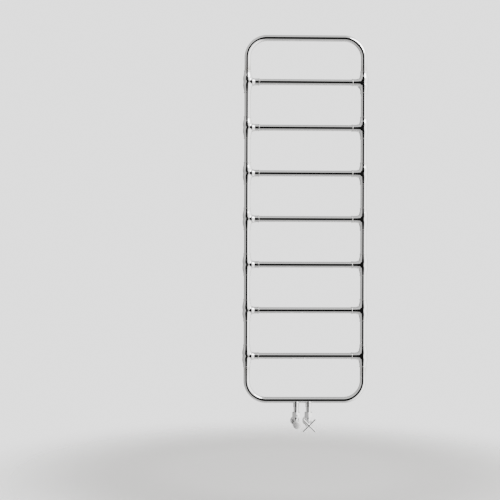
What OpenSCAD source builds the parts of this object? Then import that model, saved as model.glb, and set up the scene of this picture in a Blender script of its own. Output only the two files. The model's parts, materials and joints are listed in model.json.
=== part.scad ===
// Wall-hung towel rail for hot water: a round-tube frame with crossbars, turned tee fittings,
// four wall brackets, an air vent and a pair of angle valves (manual and lockshield).
// Millimetres. +Z is up, +X is to the right seen from the room, and the wall is the plane y = 0.
// The origin is the centre of the four wall fixings, on the wall.

/* [Frame] */
// Height over the top and bottom tubes
frame_h = 1500; // [1200:10:1800]
// Width over the two uprights
frame_w = 500; // [400:10:650]
// Outer diameter of the frame tube
tube_d = 25; // [20:0.5:30]
// Wall of the frame tube
tube_wall = 1.5; // [1:0.1:2]
// Centreline radius of the four corner bends
corner_r = 80; // [60:1:110]
// Number of crossbars
bar_count = 7; // [4:1:7]
// From the top or bottom tube's axis to the nearest crossbar's axis
end_gap = 179.5; // [160:0.5:230]
// From the wall to the plane of the tube axes
wall_gap = 85; // [78:1:120]

/* [Tee fittings] */
// From the crossbar's axis to the end of a tee's upper or lower arm
tee_arm = 46; // [38:1:55]
// From the upright's axis to the end of a tee's inward branch
tee_branch = 49; // [46:1:72]
// Depth that a tube enters a tee
socket_depth = 18; // [12:1:22]
// How far a tee's belly stands proud of the tube
belly_rise = 5.75; // [4:0.25:8]
// How far the waist at the middle of a tee stands proud of the tube
waist_rise = 4.6; // [3:0.1:7]
// How far the root of the branch stands proud of the tube
branch_rise = 4.2; // [2.5:0.1:5]
// How far a tee's necks stand proud of the tube, before the beads
neck_rise = 1.5; // [1:0.1:2.2]
// How far the bead at each tee mouth stands proud of the tube
bead_rise = 2.3; // [1.8:0.1:3]
// Length of the bead at each tee mouth
bead_len = 4.5; // [3:0.5:6]

/* [Wall brackets] */
// Diameter of the round wall plates
plate_d = 30; // [28:1:70]
// Thickness of the wall plates
plate_t = 6; // [5:0.5:8]
// Length of the hub on a wall plate
hub_l = 18; // [14:1:24]
// Wall of that hub round the post
hub_wall = 4; // [3:0.5:6]
// Diameter of the posts between the plates and the tees
post_d = 16; // [15:0.5:22]
// Hole for the wall screw
wall_screw_d = 5.5; // [4.5:0.1:7]
// Diameter of the spigot that screws into a tee's boss
spigot_d = 10; // [8:0.5:12]
// Diameter of the bracket grub screws
bracket_grub_d = 5; // [4:0.5:6]

/* [Tails and unions] */
// Distance between the two valves
valve_centres = 50; // [46:1:70]
// Sideways distance of the valve pair's middle from the frame's middle
valve_offset = -10; // [-30:1:30]
// From the bottom tube's axis down to the valves' axis
valve_drop = 96; // [86:1:130]
// Outer diameter of the sockets brazed under the bottom tube
socket_d = 24; // [23:0.5:26]
// Length of those sockets below the tube
socket_l = 17; // [15:1:22]
// Diameter of the tails between socket and union
tail_d = 20.5; // [19:0.5:21]
// Water passage through the tails
tail_bore_d = 13; // [10:0.5:14]
// Width across the flats of the union nuts
union_af = 30; // [29:0.5:34]
// Length of the union nuts
union_l = 20.5; // [18:0.5:24]
// Diameter of the union thread
union_thread_d = 24.4; // [24:0.1:26]

/* [Valve bodies] */
// Outer diameter of the valve barrels
barrel_d = 29; // [28:0.5:32]
// From the tail's axis forward to the barrel's mouth
barrel_front = 16; // [15:0.5:20]
// From the tail's axis back to the end of the pipe thread
barrel_back = 32; // [30:1:36]
// Diameter of the building's pipe
pipe_d = 15; // [12:1:15]
// Diameter of the compression thread
pipe_thread_d = 22; // [21:0.5:24]
// Width across the flats of the compression nuts
compression_af = 26; // [25:0.5:30]
// Width across the flats of the bonnets
bonnet_af = 24; // [22:0.5:26]
// Diameter of a bonnet's round neck
bonnet_neck_d = 18; // [16:0.5:19]
// Diameter of the spindles in their bonnets
spindle_d = 8; // [7:0.5:9]
// How far a jumper lifts off its seat
lift = 4.5; // [3:0.5:5]
// Diameter of the hole in the seat
seat_hole_d = 10.5; // [8:0.5:11]

/* [Handle and cap] */
// Length of the cross handle from tip to tip
handle_span = 70; // [56:1:84]
// Diameter of its four arms
arm_d = 6.5; // [5:0.5:9]
// Diameter of its bell at the back
bell_d = 27; // [25:0.5:32]
// Diameter of its bell at the arms
bell_nose_d = 17; // [15:0.5:20]
// From the valve's centre forward to the arms' axis
arm_reach = 58; // [55:0.5:66]
// Diameter of the lockshield cap
cap_d = 31; // [28:0.5:36]
// From the valve's centre forward to the cap's face
cap_reach = 52; // [50:0.5:60]

/* [Pipe covers and vent] */
// Outer diameter of the pipe sleeves
sleeve_d = 19; // [18.5:0.5:22]
// Gap between the two wall roses
rose_gap = 12; // [0.5:0.5:16]
// Depth of the wall roses
rose_t = 8; // [6:0.5:12]
// Distance of the air vent from the middle of the top tube
vent_x = 120; // [60:1:140]
// Diameter of the vent's thread
vent_d = 9.7; // [9:0.1:12]
// Width across the flats of the vent
vent_af = 13; // [12.5:0.5:16]
// Diameter of the vent's screw
vent_screw_d = 5; // [4:0.5:6]

/* [Fits] */
// Gap round a tube or plug that is brazed in its socket, per side
braze_gap = 0.05; // [0.03:0.01:0.15]
// Gap between the two halves of a thread, per side
thread_gap = 0.05; // [0.03:0.01:0.15]
// Running clearance of a spindle in its bore, per side
running_gap = 0.05; // [0.02:0.01:0.08]
// Clearance of pieces that slide over each other, per side
slide_gap = 0.1; // [0.05:0.01:0.3]
// Clearance round the building's pipe, per side
pipe_gap = 0.1; // [0.05:0.01:0.3]

/* [Hidden] */
$fn = 96;
steps = 6; // straight stretches in each smooth curve of a turned profile
tiny = 0.01; // how far a cutter runs past a face
tube_r = tube_d / 2;
bore_r = tube_r - tube_wall;
up_x = frame_w / 2 - tube_r;
top_z = frame_h / 2 - tube_r;
bar_pitch = (2 * top_z - 2 * end_gap) / (bar_count - 1);
socket_r = tube_r + braze_gap;
tube_stop = tee_arm - socket_depth; // from a crossbar's axis to the end of a tube in the tee
bar_stop = tee_branch - socket_depth; // from an upright's axis to the end of a crossbar in the tee

// Turned tees: where along each arm the profile swells and narrows
waist_half = 1.5; // half the length of the straight waist
belly_at = 13;
root_end = 17; // where the branch starts to taper
neck_len = 11.5; // straight neck of the branch, before the bead
chamfer = 0.8;

// Wall brackets
boss_len = 24; // from a tee's axis back to the face of its boss
boss_wall = 4;
boss_floor = 2.2; // metal left between the waterway and the boss's hole
spigot_len = boss_len - bore_r - boss_floor; // depth of the hole for the spigot
spigot_end_gap = 0.5;
screw_head_d = wall_screw_d * 2 + 1;
post_relief_d = screw_head_d + 0.6;
post_relief_l = 9; // room in the post for the wall screw's head
grub_at = plate_t + hub_l / 2; // from the wall
bracket_key_af = 2.5; // hexagonal socket of the grub screws
key_depth = 2;

// Valves: distances from the valve's centre, forward (+) or back (-) along its own axis
valve_z = -top_z - valve_drop;
pipe_r = pipe_d / 2 + pipe_gap;
pipe_stop = -barrel_back + 18; // where the pipe ends, against the seat's insert
barrel_tail = -20; // back end of the barrel proper, where the pipe thread starts
seat_face = -2;
seat_rim = 2.2; // width of the seat's lip
seat_d = seat_hole_d + 2 * seat_rim;
insert_d = 2 * pipe_r + 1.8; // thread of the seat's insert
chamber_floor = -4;
chamber_d = 20;
chamber_top = 8;
washer_t = 3;
washer_hole_d = 5;
disc_t = 2;
disc_d = seat_hole_d + 2 * seat_rim + 1.2;
guide_af = 12; // hexagon that keeps a jumper from turning
jumper_top = 17;
jumper_bore_d = spindle_d - 1;
jumper_hold = 7; // how far the spindle's tip reaches into a closed jumper
guide_roof = chamber_top + barrel_front;
collar_t = 1.9;
bonnet_flange_t = 7;
neck_top = guide_roof + 10;
seal_at = guide_roof + 5; // middle of the spindle's O-ring
seal_cord = 1.8;
square_w = 5.6; // drive square on the spindles
square_len = 9;
nut_back = barrel_back + 10; // ends of the compression nut, backwards
nut_front = 21;
olive_l = 4;
nut_hole_gap = 0.2; // round the pipe or tail in a nut's end

// Unions: heights above the valve's centre
neck_face = 36; // where the fibre washer lies
fibre_t = 1.5;
flange_t = 4;
flange_d = union_thread_d - 0.6;
union_top = neck_face + fibre_t + flange_t + 5;
union_bottom = union_top - union_l;
tail_groove = 1.2;
tail_thread_l = 12;
tail_thread_d = tail_d - 1;
socket_end = tube_r + socket_l; // from the bottom tube's axis down
socket_port_d = 15; // spigot of a socket in the bottom tube's wall
neck_d = union_thread_d - 2; // of a valve body under its union thread

// Air vent: heights above the face of its boss
vent_boss_wall = 3;
vent_boss_h = 5; // from the tube's surface to the face of the boss
vent_thread_l = 6;
vent_flange_t = 3.5;
vent_nose_l = 7;
vent_seat_l = 2.5;
vent_port_d = 2;
vent_spout_d = 1.6;
vent_spout_at = 3.7;
vent_key = 4; // square head of the screw, for a radiator key
vent_key_l = 5;

// Handle and spindles
handle_foot = neck_top + 0.5;
handle_skirt = 3; // how far the bell reaches back over the bonnet's neck
manual_reach = arm_reach - arm_d / 2 - 1; // front end of the manual spindle
lockshield_reach = neck_top + square_len + 1; // front end of the lockshield spindle
handle_square_foot = manual_reach - square_len;
handle_grub_at = manual_reach - square_len / 2;
handle_grub_d = 4;
handle_grub_l = 4;
handle_key_af = 2;

// Roses
rose_d = valve_centres - rose_gap;
rose_rim = 1.5;
rose_collar_d = sleeve_d + 5;
sleeve_wall_gap = 1; // between a sleeve and the wall

ROWS = [0:bar_count - 1];

// ---- helpers ----

// Height of a crossbar, counted from the top
function bar_z(i) = top_z - end_gap - i * bar_pitch;

// Sideways place of a valve: -1 is the lockshield valve and 1 the manual one
function valve_x(side) = valve_offset + side * valve_centres / 2;

// Points of a smooth swell from radius r0 at height z0 to radius r1 at height z1
function swell(r0, z0, r1, z1) =
  [for (k = [0:steps]) let (t = k / steps) [r0 + (r1 - r0) * (1 - cos(180 * t)) / 2, z0 + (z1 - z0) * t]];

// Turned solid from the axis out to an outline given from its foot to its top
module turned(outline) {
  rotate_extrude()
    polygon(concat([[0, outline[0][1]]], outline, [[0, outline[len(outline) - 1][1]]]));
}

// Cylinder with both edges broken
module rod(d, h, edge) {
  turned([[d / 2 - edge, 0], [d / 2, edge], [d / 2, h - edge], [d / 2 - edge, h]]);
}

// Hexagonal prism by its width across flats
module hexagon(af, h) {
  cylinder(d = af / cos(30), h = h, $fn = 6);
}

// Hexagon with its corners turned off at both ends, as a nut has
module nut_blank(af, h) {
  corner_r = af / 2 / cos(30);
  intersection() {
    hexagon(af, h);
    turned([
      [af / 2, 0],
      [corner_r, (corner_r - af / 2) / 2],
      [corner_r, h - (corner_r - af / 2) / 2],
      [af / 2, h]
    ]);
  }
}

// Hole along +Z that runs a little past both ends
module hole(d, h) {
  translate([0, 0, -tiny])
    cylinder(d = d, h = h + 2 * tiny);
}

// Moves pieces from a valve's own frame, where +Z runs forward and +Y up, to their place
module at_valve(side) {
  translate([valve_x(side), -wall_gap, valve_z])
    rotate([90, 0, 0])
      children();
}

// The four wall fixings
module at_brackets() {
  for (x = [-up_x, up_x])
    for (z = [bar_z(0), bar_z(bar_count - 1)])
      translate([x, 0, z])
        children();
}

// ---- frame ----

// Solid that follows a bow's centreline: straight run, two bends and two legs, in the plane y = 0
module bow_core(r, leg_end, over) {
  run = 2 * (up_x - corner_r);
  leg_top = top_z - corner_r;
  translate([-run / 2, 0, top_z])
    rotate([0, 90, 0])
      cylinder(r = r, h = run);
  for (side = [0, 1])
    mirror([side, 0, 0]) {
      translate([up_x - corner_r, 0, leg_top])
        rotate([90, 0, 0])
          rotate_extrude(angle = 90)
            translate([corner_r, 0])
              circle(r = r);
      translate([up_x, 0, leg_end - over])
        cylinder(r = r, h = leg_top - leg_end + over);
    }
}

module top_bow() {
  leg_end = bar_z(0) + tube_stop + braze_gap;
  color("silver")
    translate([0, -wall_gap, 0])
      difference() {
        union() {
          bow_core(tube_r, leg_end, 0);
          translate([vent_x, 0, top_z])
            rotate([-90, 0, 0])
              cylinder(d = vent_d + 2 * vent_boss_wall, h = tube_r + vent_boss_h);
        }
        bow_core(bore_r, leg_end, tiny);
        translate([vent_x, 0, top_z])
          rotate([-90, 0, 0])
            cylinder(d = vent_d + 2 * thread_gap, h = tube_r + vent_boss_h + tiny);
      }
}

module bottom_bow() {
  leg_end = bar_z(0) + tube_stop + braze_gap;
  color("silver")
    translate([0, -wall_gap, 0])
      difference() {
        mirror([0, 0, 1])
          difference() {
            bow_core(tube_r, leg_end, 0);
            bow_core(bore_r, leg_end, tiny);
          }
        for (side = [-1, 1])
          translate([valve_x(side), 0, -top_z - tube_r - tiny])
            cylinder(d = socket_port_d + 2 * braze_gap, h = tube_r);
      }
}

// Straight tube along +Z
module tube(length) {
  difference() {
    cylinder(r = tube_r, h = length);
    hole(2 * bore_r, length);
  }
}

// The short tubes of one upright, one between each two tees
module upright_tubes(side) {
  color("silver")
    for (i = [0:bar_count - 2])
      translate([side * up_x, -wall_gap, bar_z(i + 1) + tube_stop + braze_gap])
        tube(bar_pitch - 2 * (tube_stop + braze_gap));
}

module crossbar(i) {
  length = 2 * (up_x - bar_stop - braze_gap);
  color("silver")
    translate([-length / 2, -wall_gap, bar_z(i)])
      rotate([0, 90, 0])
        tube(length);
}

// Half of a tee's upright body, from its waist to its mouth
function arm_outline() = concat(
  swell(tube_r + waist_rise, waist_half, tube_r + belly_rise, belly_at),
  swell(tube_r + belly_rise, belly_at, tube_r + neck_rise, tee_arm - bead_len),
  bead_outline(tee_arm)
);

// The whole upright body, from its lower mouth to its upper one
function body_outline() =
  let (upper = arm_outline(), last = len(upper) - 1)
    concat([for (k = [last:-1:0]) [upper[k][0], -upper[k][1]]], upper);

// Bead at a mouth, ending at the given length
function bead_outline(length) = [
  [tube_r + bead_rise, length - bead_len + chamfer],
  [tube_r + bead_rise, length - chamfer],
  [tube_r + bead_rise - chamfer, length]
];

// The branch, from the upright's axis to its mouth
function branch_outline() = concat(
  [[tube_r + branch_rise, 0]],
  swell(
    tube_r + branch_rise, root_end,
    tube_r + neck_rise, tee_branch - bead_len - neck_len
  ),
  [[tube_r + neck_rise, tee_branch - bead_len]],
  bead_outline(tee_branch)
);

// Tee with its branch along +X; braced tees carry a boss at the back for a wall post
module tee_blank(braced) {
  difference() {
    union() {
      turned(body_outline());
      rotate([0, 90, 0])
        turned(branch_outline());
      if (braced)
        rotate([-90, 0, 0])
          rotate([0, 0, 30])
            cylinder(d = spigot_d + 2 * boss_wall, h = boss_len);
    }
    for (tip = [0, 1])
      mirror([0, 0, tip])
        tee_socket(tube_stop, tee_arm);
    rotate([0, 90, 0])
      tee_socket(bar_stop, tee_branch);
    if (braced)
      translate([0, boss_len - spigot_len, 0])
        rotate([-90, 0, 0])
          cylinder(d = spigot_d + 2 * thread_gap, h = spigot_len + tiny);
  }
}

// Waterway and tube socket of one arm
module tee_socket(stop, mouth) {
  cylinder(r = bore_r, h = stop + tiny);
  translate([0, 0, stop])
    cylinder(r = socket_r, h = mouth - stop + tiny);
}

module tee(side, i) {
  braced = i == 0 || i == bar_count - 1;
  color("gainsboro")
    translate([side * up_x, -wall_gap, bar_z(i)])
      mirror([side > 0 ? 1 : 0, 0, 0])
        tee_blank(braced);
}

// Plug that sends the water up one side and down the other
module flow_diverter() {
  plug_l = 6;
  color("goldenrod")
    translate([valve_offset - plug_l / 2, -wall_gap, -top_z])
      rotate([0, 90, 0])
        cylinder(r = bore_r - braze_gap, h = plug_l);
}

// Threaded sockets brazed under the bottom tube, with a saddle that fits it
module tail_sockets() {
  thread_depth = tail_thread_l + 1;
  color("gainsboro")
    for (side = [-1, 1])
      translate([valve_x(side), -wall_gap, -top_z])
        difference() {
          union() {
            difference() {
              translate([0, 0, -socket_end])
                cylinder(d = socket_d, h = socket_end);
              rotate([0, 90, 0])
                cylinder(r = socket_r, h = 2 * socket_d, center = true);
            }
            translate([0, 0, -socket_end + thread_depth])
              cylinder(d = socket_port_d, h = socket_end - thread_depth - bore_r + 1);
          }
          translate([0, 0, -socket_end - tiny])
            cylinder(d = tail_thread_d + 2 * thread_gap, h = thread_depth + tiny);
          translate([0, 0, -socket_end])
            hole(tail_bore_d - 1, socket_end);
        }
}

// ---- air vent, on the back of the top tube ----

// The vent's own frame: +Z runs out of the tube, from the face of its boss
module at_vent() {
  translate([vent_x, -wall_gap + tube_r + vent_boss_h, top_z])
    rotate([-90, 0, 0])
      children();
}

module air_vent_body() {
  color("gainsboro")
    at_vent()
      difference() {
        union() {
          translate([0, 0, -vent_thread_l])
            cylinder(d = vent_d, h = vent_thread_l);
          nut_blank(vent_af, vent_flange_t);
          cylinder(d = vent_af - 3, h = vent_flange_t + vent_nose_l);
        }
        translate([0, 0, -vent_thread_l])
          hole(vent_port_d, vent_thread_l + vent_seat_l);
        translate([0, 0, vent_seat_l])
          cylinder(d = vent_screw_d + 2 * running_gap, h = vent_flange_t + vent_nose_l);
        translate([0, 0, vent_spout_at])
          rotate([0, 90, 0])
            cylinder(d = vent_spout_d, h = vent_af);
      }
}

module air_vent_screw() {
  cone_l = 1.5;
  shank_l = vent_flange_t + vent_nose_l - vent_seat_l - cone_l + 0.2;
  color("goldenrod")
    at_vent()
      translate([0, 0, vent_seat_l + 0.1]) {
        cylinder(d1 = vent_port_d + 0.4, d2 = vent_screw_d, h = cone_l);
        translate([0, 0, cone_l])
          cylinder(d = vent_screw_d, h = shank_l);
        translate([-vent_key / 2, -vent_key / 2, cone_l + shank_l])
          cube([vent_key, vent_key, vent_key_l]);
      }
}

// ---- wall brackets ----

module wall_plates() {
  hub_d = post_d + 2 * slide_gap + 2 * hub_wall;
  sink = (screw_head_d - wall_screw_d) / 2;
  color("gainsboro")
    at_brackets()
      rotate([90, 0, 0])
        difference() {
          union() {
            rod(plate_d, plate_t, 1.5);
            cylinder(d = hub_d, h = plate_t + hub_l);
          }
          hole(wall_screw_d, plate_t);
          translate([0, 0, plate_t - sink])
            cylinder(d1 = wall_screw_d, d2 = screw_head_d, h = sink + tiny);
          translate([0, 0, plate_t])
            cylinder(d = post_d + 2 * slide_gap, h = hub_l + tiny);
          translate([0, 0, grub_at])
            rotate([90, 0, 0])
              cylinder(d = bracket_grub_d + 2 * thread_gap, h = hub_d);
        }
}

module wall_posts() {
  length = wall_gap - boss_len - plate_t;
  color("gainsboro")
    at_brackets()
      translate([0, -plate_t, 0])
        rotate([90, 0, 0])
          difference() {
            union() {
              cylinder(d = post_d, h = length);
              translate([0, 0, length])
                cylinder(d = spigot_d, h = spigot_len - spigot_end_gap);
            }
            hole(post_relief_d, post_relief_l);
          }
}

module wall_grub_screws() {
  length = hub_wall + slide_gap - thread_gap;
  color("dimgray")
    at_brackets()
      translate([0, -grub_at, -post_d / 2 - thread_gap])
        mirror([0, 0, 1])
          difference() {
            cylinder(d = bracket_grub_d, h = length);
            translate([0, 0, length - key_depth])
              hexagon(bracket_key_af, key_depth + tiny);
          }
}

// ---- tails and unions, in a valve's own frame turned so that +Z runs up ----

module at_union(side) {
  translate([valve_x(side), -wall_gap, valve_z])
    children();
}

module tail(side) {
  flange_z = neck_face + fibre_t;
  stem_top = valve_drop - socket_end;
  color("gainsboro")
    at_union(side)
      difference() {
        union() {
          translate([0, 0, flange_z])
            cylinder(d = flange_d, h = flange_t);
          translate([0, 0, flange_z])
            cylinder(d = tail_d, h = stem_top - tail_groove - flange_z);
          translate([0, 0, flange_z])
            cylinder(d = tail_thread_d, h = stem_top - flange_z + tail_thread_l);
        }
        translate([0, 0, flange_z])
          hole(tail_bore_d, stem_top - flange_z + tail_thread_l);
      }
}

module union_nut(side) {
  shoulder = neck_face + fibre_t + flange_t + thread_gap;
  color("gainsboro")
    at_union(side)
      difference() {
        translate([0, 0, union_bottom])
          nut_blank(union_af, union_l);
        translate([0, 0, union_bottom - tiny])
          cylinder(d = union_thread_d + 2 * thread_gap, h = shoulder - union_bottom + tiny);
        translate([0, 0, union_bottom])
          hole(tail_d + 2 * nut_hole_gap, union_l);
      }
}

module union_seals() {
  color("saddlebrown")
    for (side = [-1, 1])
      at_union(side)
        translate([0, 0, neck_face])
          difference() {
            cylinder(d = flange_d - 0.4, h = fibre_t);
            hole(tail_bore_d + 2, fibre_t);
          }
}

// ---- valves, in their own frame with +Z forward and +Y up ----

module valve_body(side) {
  color("gainsboro")
    at_valve(side)
      difference() {
        union() {
          translate([0, 0, barrel_tail])
            rod(barrel_d, barrel_front - barrel_tail, 1);
          translate([0, 0, -barrel_back])
            cylinder(d = pipe_thread_d, h = barrel_back);
          rotate([-90, 0, 0]) {
            cylinder(d = neck_d, h = union_bottom - 1);
            cylinder(d = union_thread_d, h = neck_face);
          }
        }
        translate([0, 0, chamber_floor])
          cylinder(d = chamber_d, h = barrel_front - chamber_floor + tiny);
        translate([0, 0, pipe_stop])
          cylinder(d = insert_d + 2 * thread_gap, h = chamber_floor - pipe_stop + tiny);
        translate([0, 0, -barrel_back - tiny])
          cylinder(r = pipe_r, h = pipe_stop + barrel_back + tiny);
        // way up to the tail
        translate([0, seat_d / 2 + 1, 0])
          rotate([-90, 0, 0])
            cylinder(d = tail_bore_d, h = neck_face);
      }
}

// Seats screwed into the bodies from the front; the building's pipes stop against them
module valve_seats() {
  foot = pipe_stop + thread_gap;
  color("goldenrod")
    for (side = [-1, 1])
      at_valve(side)
        translate([0, 0, foot])
          difference() {
            union() {
              cylinder(d = insert_d, h = chamber_floor - foot);
              cylinder(d = seat_d, h = seat_face - foot);
            }
            hole(seat_hole_d, seat_face - foot);
          }
}

module bonnet(side) {
  color("gainsboro")
    at_valve(side)
      difference() {
        union() {
          translate([0, 0, chamber_top])
            cylinder(d = chamber_d - 2 * thread_gap, h = barrel_front - chamber_top + 1);
          translate([0, 0, barrel_front])
            nut_blank(bonnet_af, bonnet_flange_t);
          translate([0, 0, barrel_front + bonnet_flange_t - 1])
            cylinder(d = bonnet_neck_d, h = neck_top - barrel_front - bonnet_flange_t + 1);
        }
        translate([0, 0, chamber_top - tiny])
          hexagon(guide_af + 2 * slide_gap, guide_roof - chamber_top + tiny);
        translate([0, 0, guide_roof - 1])
          cylinder(d = spindle_d + 2 * running_gap, h = neck_top - guide_roof + 2);
      }
}

// Spindle that turns without rising; its threaded tip drives the jumper
module spindle(side, reach) {
  color("goldenrod")
    at_valve(side)
      difference() {
        union() {
          translate([0, 0, jumper_top - jumper_hold])
            cylinder(d = jumper_bore_d - 2 * thread_gap, h = guide_roof - jumper_top + jumper_hold);
          translate([0, 0, guide_roof - collar_t - running_gap])
            cylinder(d = guide_af - 1, h = collar_t);
          translate([0, 0, guide_roof - collar_t])
            cylinder(d = spindle_d, h = reach - square_len - guide_roof + collar_t);
          translate([-square_w / 2, -square_w / 2, reach - square_len - 1])
            cube([square_w, square_w, square_len + 1]);
        }
        translate([0, 0, seal_at - seal_cord / 2])
          difference() {
            cylinder(d = spindle_d + 1, h = seal_cord);
            hole(spindle_d - 2 * seal_cord, seal_cord);
          }
      }
}

module spindle_seal(side) {
  color("black")
    at_valve(side)
      translate([0, 0, seal_at])
        rotate_extrude()
          translate([spindle_d / 2 - seal_cord / 2 + running_gap / 2, 0])
            circle(d = seal_cord - 2 * running_gap);
}

module jumper(side) {
  disc_foot = seat_face + thread_gap + washer_t;
  bore_floor = disc_foot + disc_t - 0.5;
  color("goldenrod")
    at_valve(side)
      difference() {
        union() {
          translate([0, 0, seat_face - 1])
            cylinder(d = washer_hole_d - 2 * thread_gap, h = disc_foot - seat_face + 2);
          translate([0, 0, disc_foot])
            cylinder(d = disc_d, h = disc_t);
          translate([0, 0, disc_foot + disc_t - 1])
            hexagon(guide_af, jumper_top - disc_foot - disc_t + 1);
        }
        translate([0, 0, bore_floor])
          cylinder(d = jumper_bore_d, h = jumper_top - bore_floor + tiny);
      }
}

module jumper_washer(side) {
  color("black")
    at_valve(side)
      translate([0, 0, seat_face + thread_gap])
        difference() {
          cylinder(d = disc_d - 1, h = washer_t);
          hole(washer_hole_d, washer_t);
        }
}

module compression_nut(side) {
  shoulder = barrel_back + olive_l + 2 * thread_gap;
  color("gainsboro")
    at_valve(side)
      translate([0, 0, -nut_back])
        difference() {
          nut_blank(compression_af, nut_back - nut_front);
          hole(2 * (pipe_r + nut_hole_gap), nut_back - nut_front);
          translate([0, 0, nut_back - shoulder])
            cylinder(d = pipe_thread_d + 2 * thread_gap, h = shoulder - nut_front + tiny);
        }
}

module compression_olives() {
  crown = 1.7; // thickness at the middle of an olive
  color("goldenrod")
    for (side = [-1, 1])
      at_valve(side)
        translate([0, 0, -barrel_back - thread_gap - olive_l])
          difference() {
            turned([
              [pipe_r + 0.6, 0],
              [pipe_r + crown, olive_l * 0.35],
              [pipe_r + crown, olive_l * 0.65],
              [pipe_r + 0.6, olive_l]
            ]);
            hole(2 * pipe_r, olive_l);
          }
}

module pipe_sleeve(side) {
  length = wall_gap - nut_back - thread_gap - sleeve_wall_gap;
  color("silver")
    at_valve(side)
      translate([0, 0, -nut_back - thread_gap - length])
        difference() {
          cylinder(d = sleeve_d, h = length);
          hole(2 * pipe_r + 1, length);
        }
}

// Shallow dished rose that covers the hole in the wall
module rose(side) {
  color("silver")
    at_valve(side)
      translate([0, 0, -wall_gap])
        difference() {
          turned(concat(
            [[rose_d / 2 - 0.4, 0], [rose_d / 2, 0.4], [rose_d / 2, rose_rim]],
            swell(rose_d / 2 - 0.5, rose_rim + 0.6, rose_collar_d / 2 + 1, rose_t - 2),
            [[rose_collar_d / 2, rose_t - 1], [rose_collar_d / 2, rose_t]]
          ));
          hole(sleeve_d + 2 * slide_gap, rose_t);
          translate([0, 0, -tiny])
            turned([
              [rose_d / 2 - 2, 0],
              [rose_d / 2 - 2, rose_rim - 1],
              [rose_collar_d / 2, rose_t - 4]
            ]);
        }
}

// ---- what the hands reach ----

// Bell with two crossed bars; the bars stand at 45 degrees
module cross_handle() {
  color("gainsboro")
    at_valve(1)
      difference() {
        union() {
          turned(concat(
            [
              [bell_d / 2 - 0.6, handle_foot - handle_skirt],
              [bell_d / 2, handle_foot - handle_skirt + 0.6]
            ],
            swell(bell_d / 2, handle_foot + 2, bell_nose_d / 2, arm_reach - arm_d / 2 - 1),
            [
              [bell_nose_d / 2, arm_reach],
              [bell_nose_d / 2 - 1.2, arm_reach + 1.8],
              [bell_nose_d / 2 - 3.6, arm_reach + 2.9]
            ]
          ));
          for (turn = [45, 135])
            translate([0, 0, arm_reach])
              rotate([0, 0, turn])
                rotate([0, 90, 0])
                  translate([0, 0, -handle_span / 2])
                    rod(arm_d, handle_span, 1.4);
        }
        translate([0, 0, handle_foot - handle_skirt - tiny])
          cylinder(d = bonnet_neck_d + 1.2, h = handle_skirt + tiny);
        translate([0, 0, handle_foot - tiny])
          cylinder(d = spindle_d + 0.6, h = handle_square_foot - handle_foot + 0.3);
        translate([-square_w / 2 - slide_gap, -square_w / 2 - slide_gap, handle_square_foot - 1])
          cube([square_w + 2 * slide_gap, square_w + 2 * slide_gap, square_len + 1.5]);
        translate([0, 0, handle_grub_at])
          rotate([90, 0, 0])
            cylinder(d = handle_grub_d + 2 * thread_gap, h = bell_d);
      }
}

module handle_grub_screw() {
  start = square_w / 2 + thread_gap;
  color("dimgray")
    at_valve(1)
      translate([0, -start, handle_grub_at])
        rotate([90, 0, 0])
          difference() {
            cylinder(d = handle_grub_d, h = handle_grub_l);
            translate([0, 0, handle_grub_l - key_depth])
              hexagon(handle_key_af, key_depth + tiny);
          }
}

// Cap that pushes on over the lockshield bonnet and hides its spindle
module lockshield_cap() {
  foot = barrel_front + bonnet_flange_t + 0.4;
  dome = 5;
  color("gainsboro")
    at_valve(-1)
      difference() {
        turned(concat(
          [[cap_d / 2 - 1, foot], [cap_d / 2, foot + 1]],
          [for (k = [0:steps]) let (a = 90 * k / steps)
            [cap_d / 2 - dome + dome * cos(a), cap_reach - dome + dome * sin(a)]]
        ));
        translate([0, 0, foot - tiny])
          cylinder(d = bonnet_neck_d + 2 * slide_gap, h = neck_top + 0.5 - foot);
        translate([0, 0, neck_top])
          cylinder(d = spindle_d + 4, h = lockshield_reach + 1.5 - neck_top);
      }
}

// ---- pieces drawn one at a time ----

top_bow();
bottom_bow();
upright_tubes(-1);  // upright_left_tubes
upright_tubes(1);  // upright_right_tubes
for (i = ROWS) {
  crossbar(i);
  tee(-1, i);
  tee(1, i);
}
flow_diverter();
tail_sockets();
air_vent_body();
air_vent_screw();
wall_plates();
wall_posts();
wall_grub_screws();
tail(1);  // manual_tail
union_nut(1);  // manual_union_nut
valve_body(1);  // manual_body
bonnet(1);  // manual_bonnet
spindle(1, manual_reach);  // manual_spindle
spindle_seal(1);  // manual_spindle_seal
jumper(1);  // manual_jumper
jumper_washer(1);  // manual_washer
compression_nut(1);  // manual_compression_nut
cross_handle();
handle_grub_screw();
tail(-1);  // lockshield_tail
union_nut(-1);  // lockshield_union_nut
valve_body(-1);  // lockshield_body
bonnet(-1);  // lockshield_bonnet
spindle(-1, lockshield_reach);  // lockshield_spindle
spindle_seal(-1);  // lockshield_spindle_seal
jumper(-1);  // lockshield_jumper
jumper_washer(-1);  // lockshield_washer
compression_nut(-1);  // lockshield_compression_nut
lockshield_cap();
valve_seats();
union_seals();
compression_olives();
pipe_sleeve(-1);  // pipe_sleeve_left
pipe_sleeve(1);  // pipe_sleeve_right
rose(-1);  // rose_left
rose(1);  // rose_right
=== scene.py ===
"""Chromed towel warmer rail with its valves and brackets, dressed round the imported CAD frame."""

import json
import logging
import math
from collections.abc import Callable, Sequence
from dataclasses import dataclass
from enum import Enum

import bmesh
import bpy
import numpy as np
from mathutils import Matrix, Vector

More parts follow.
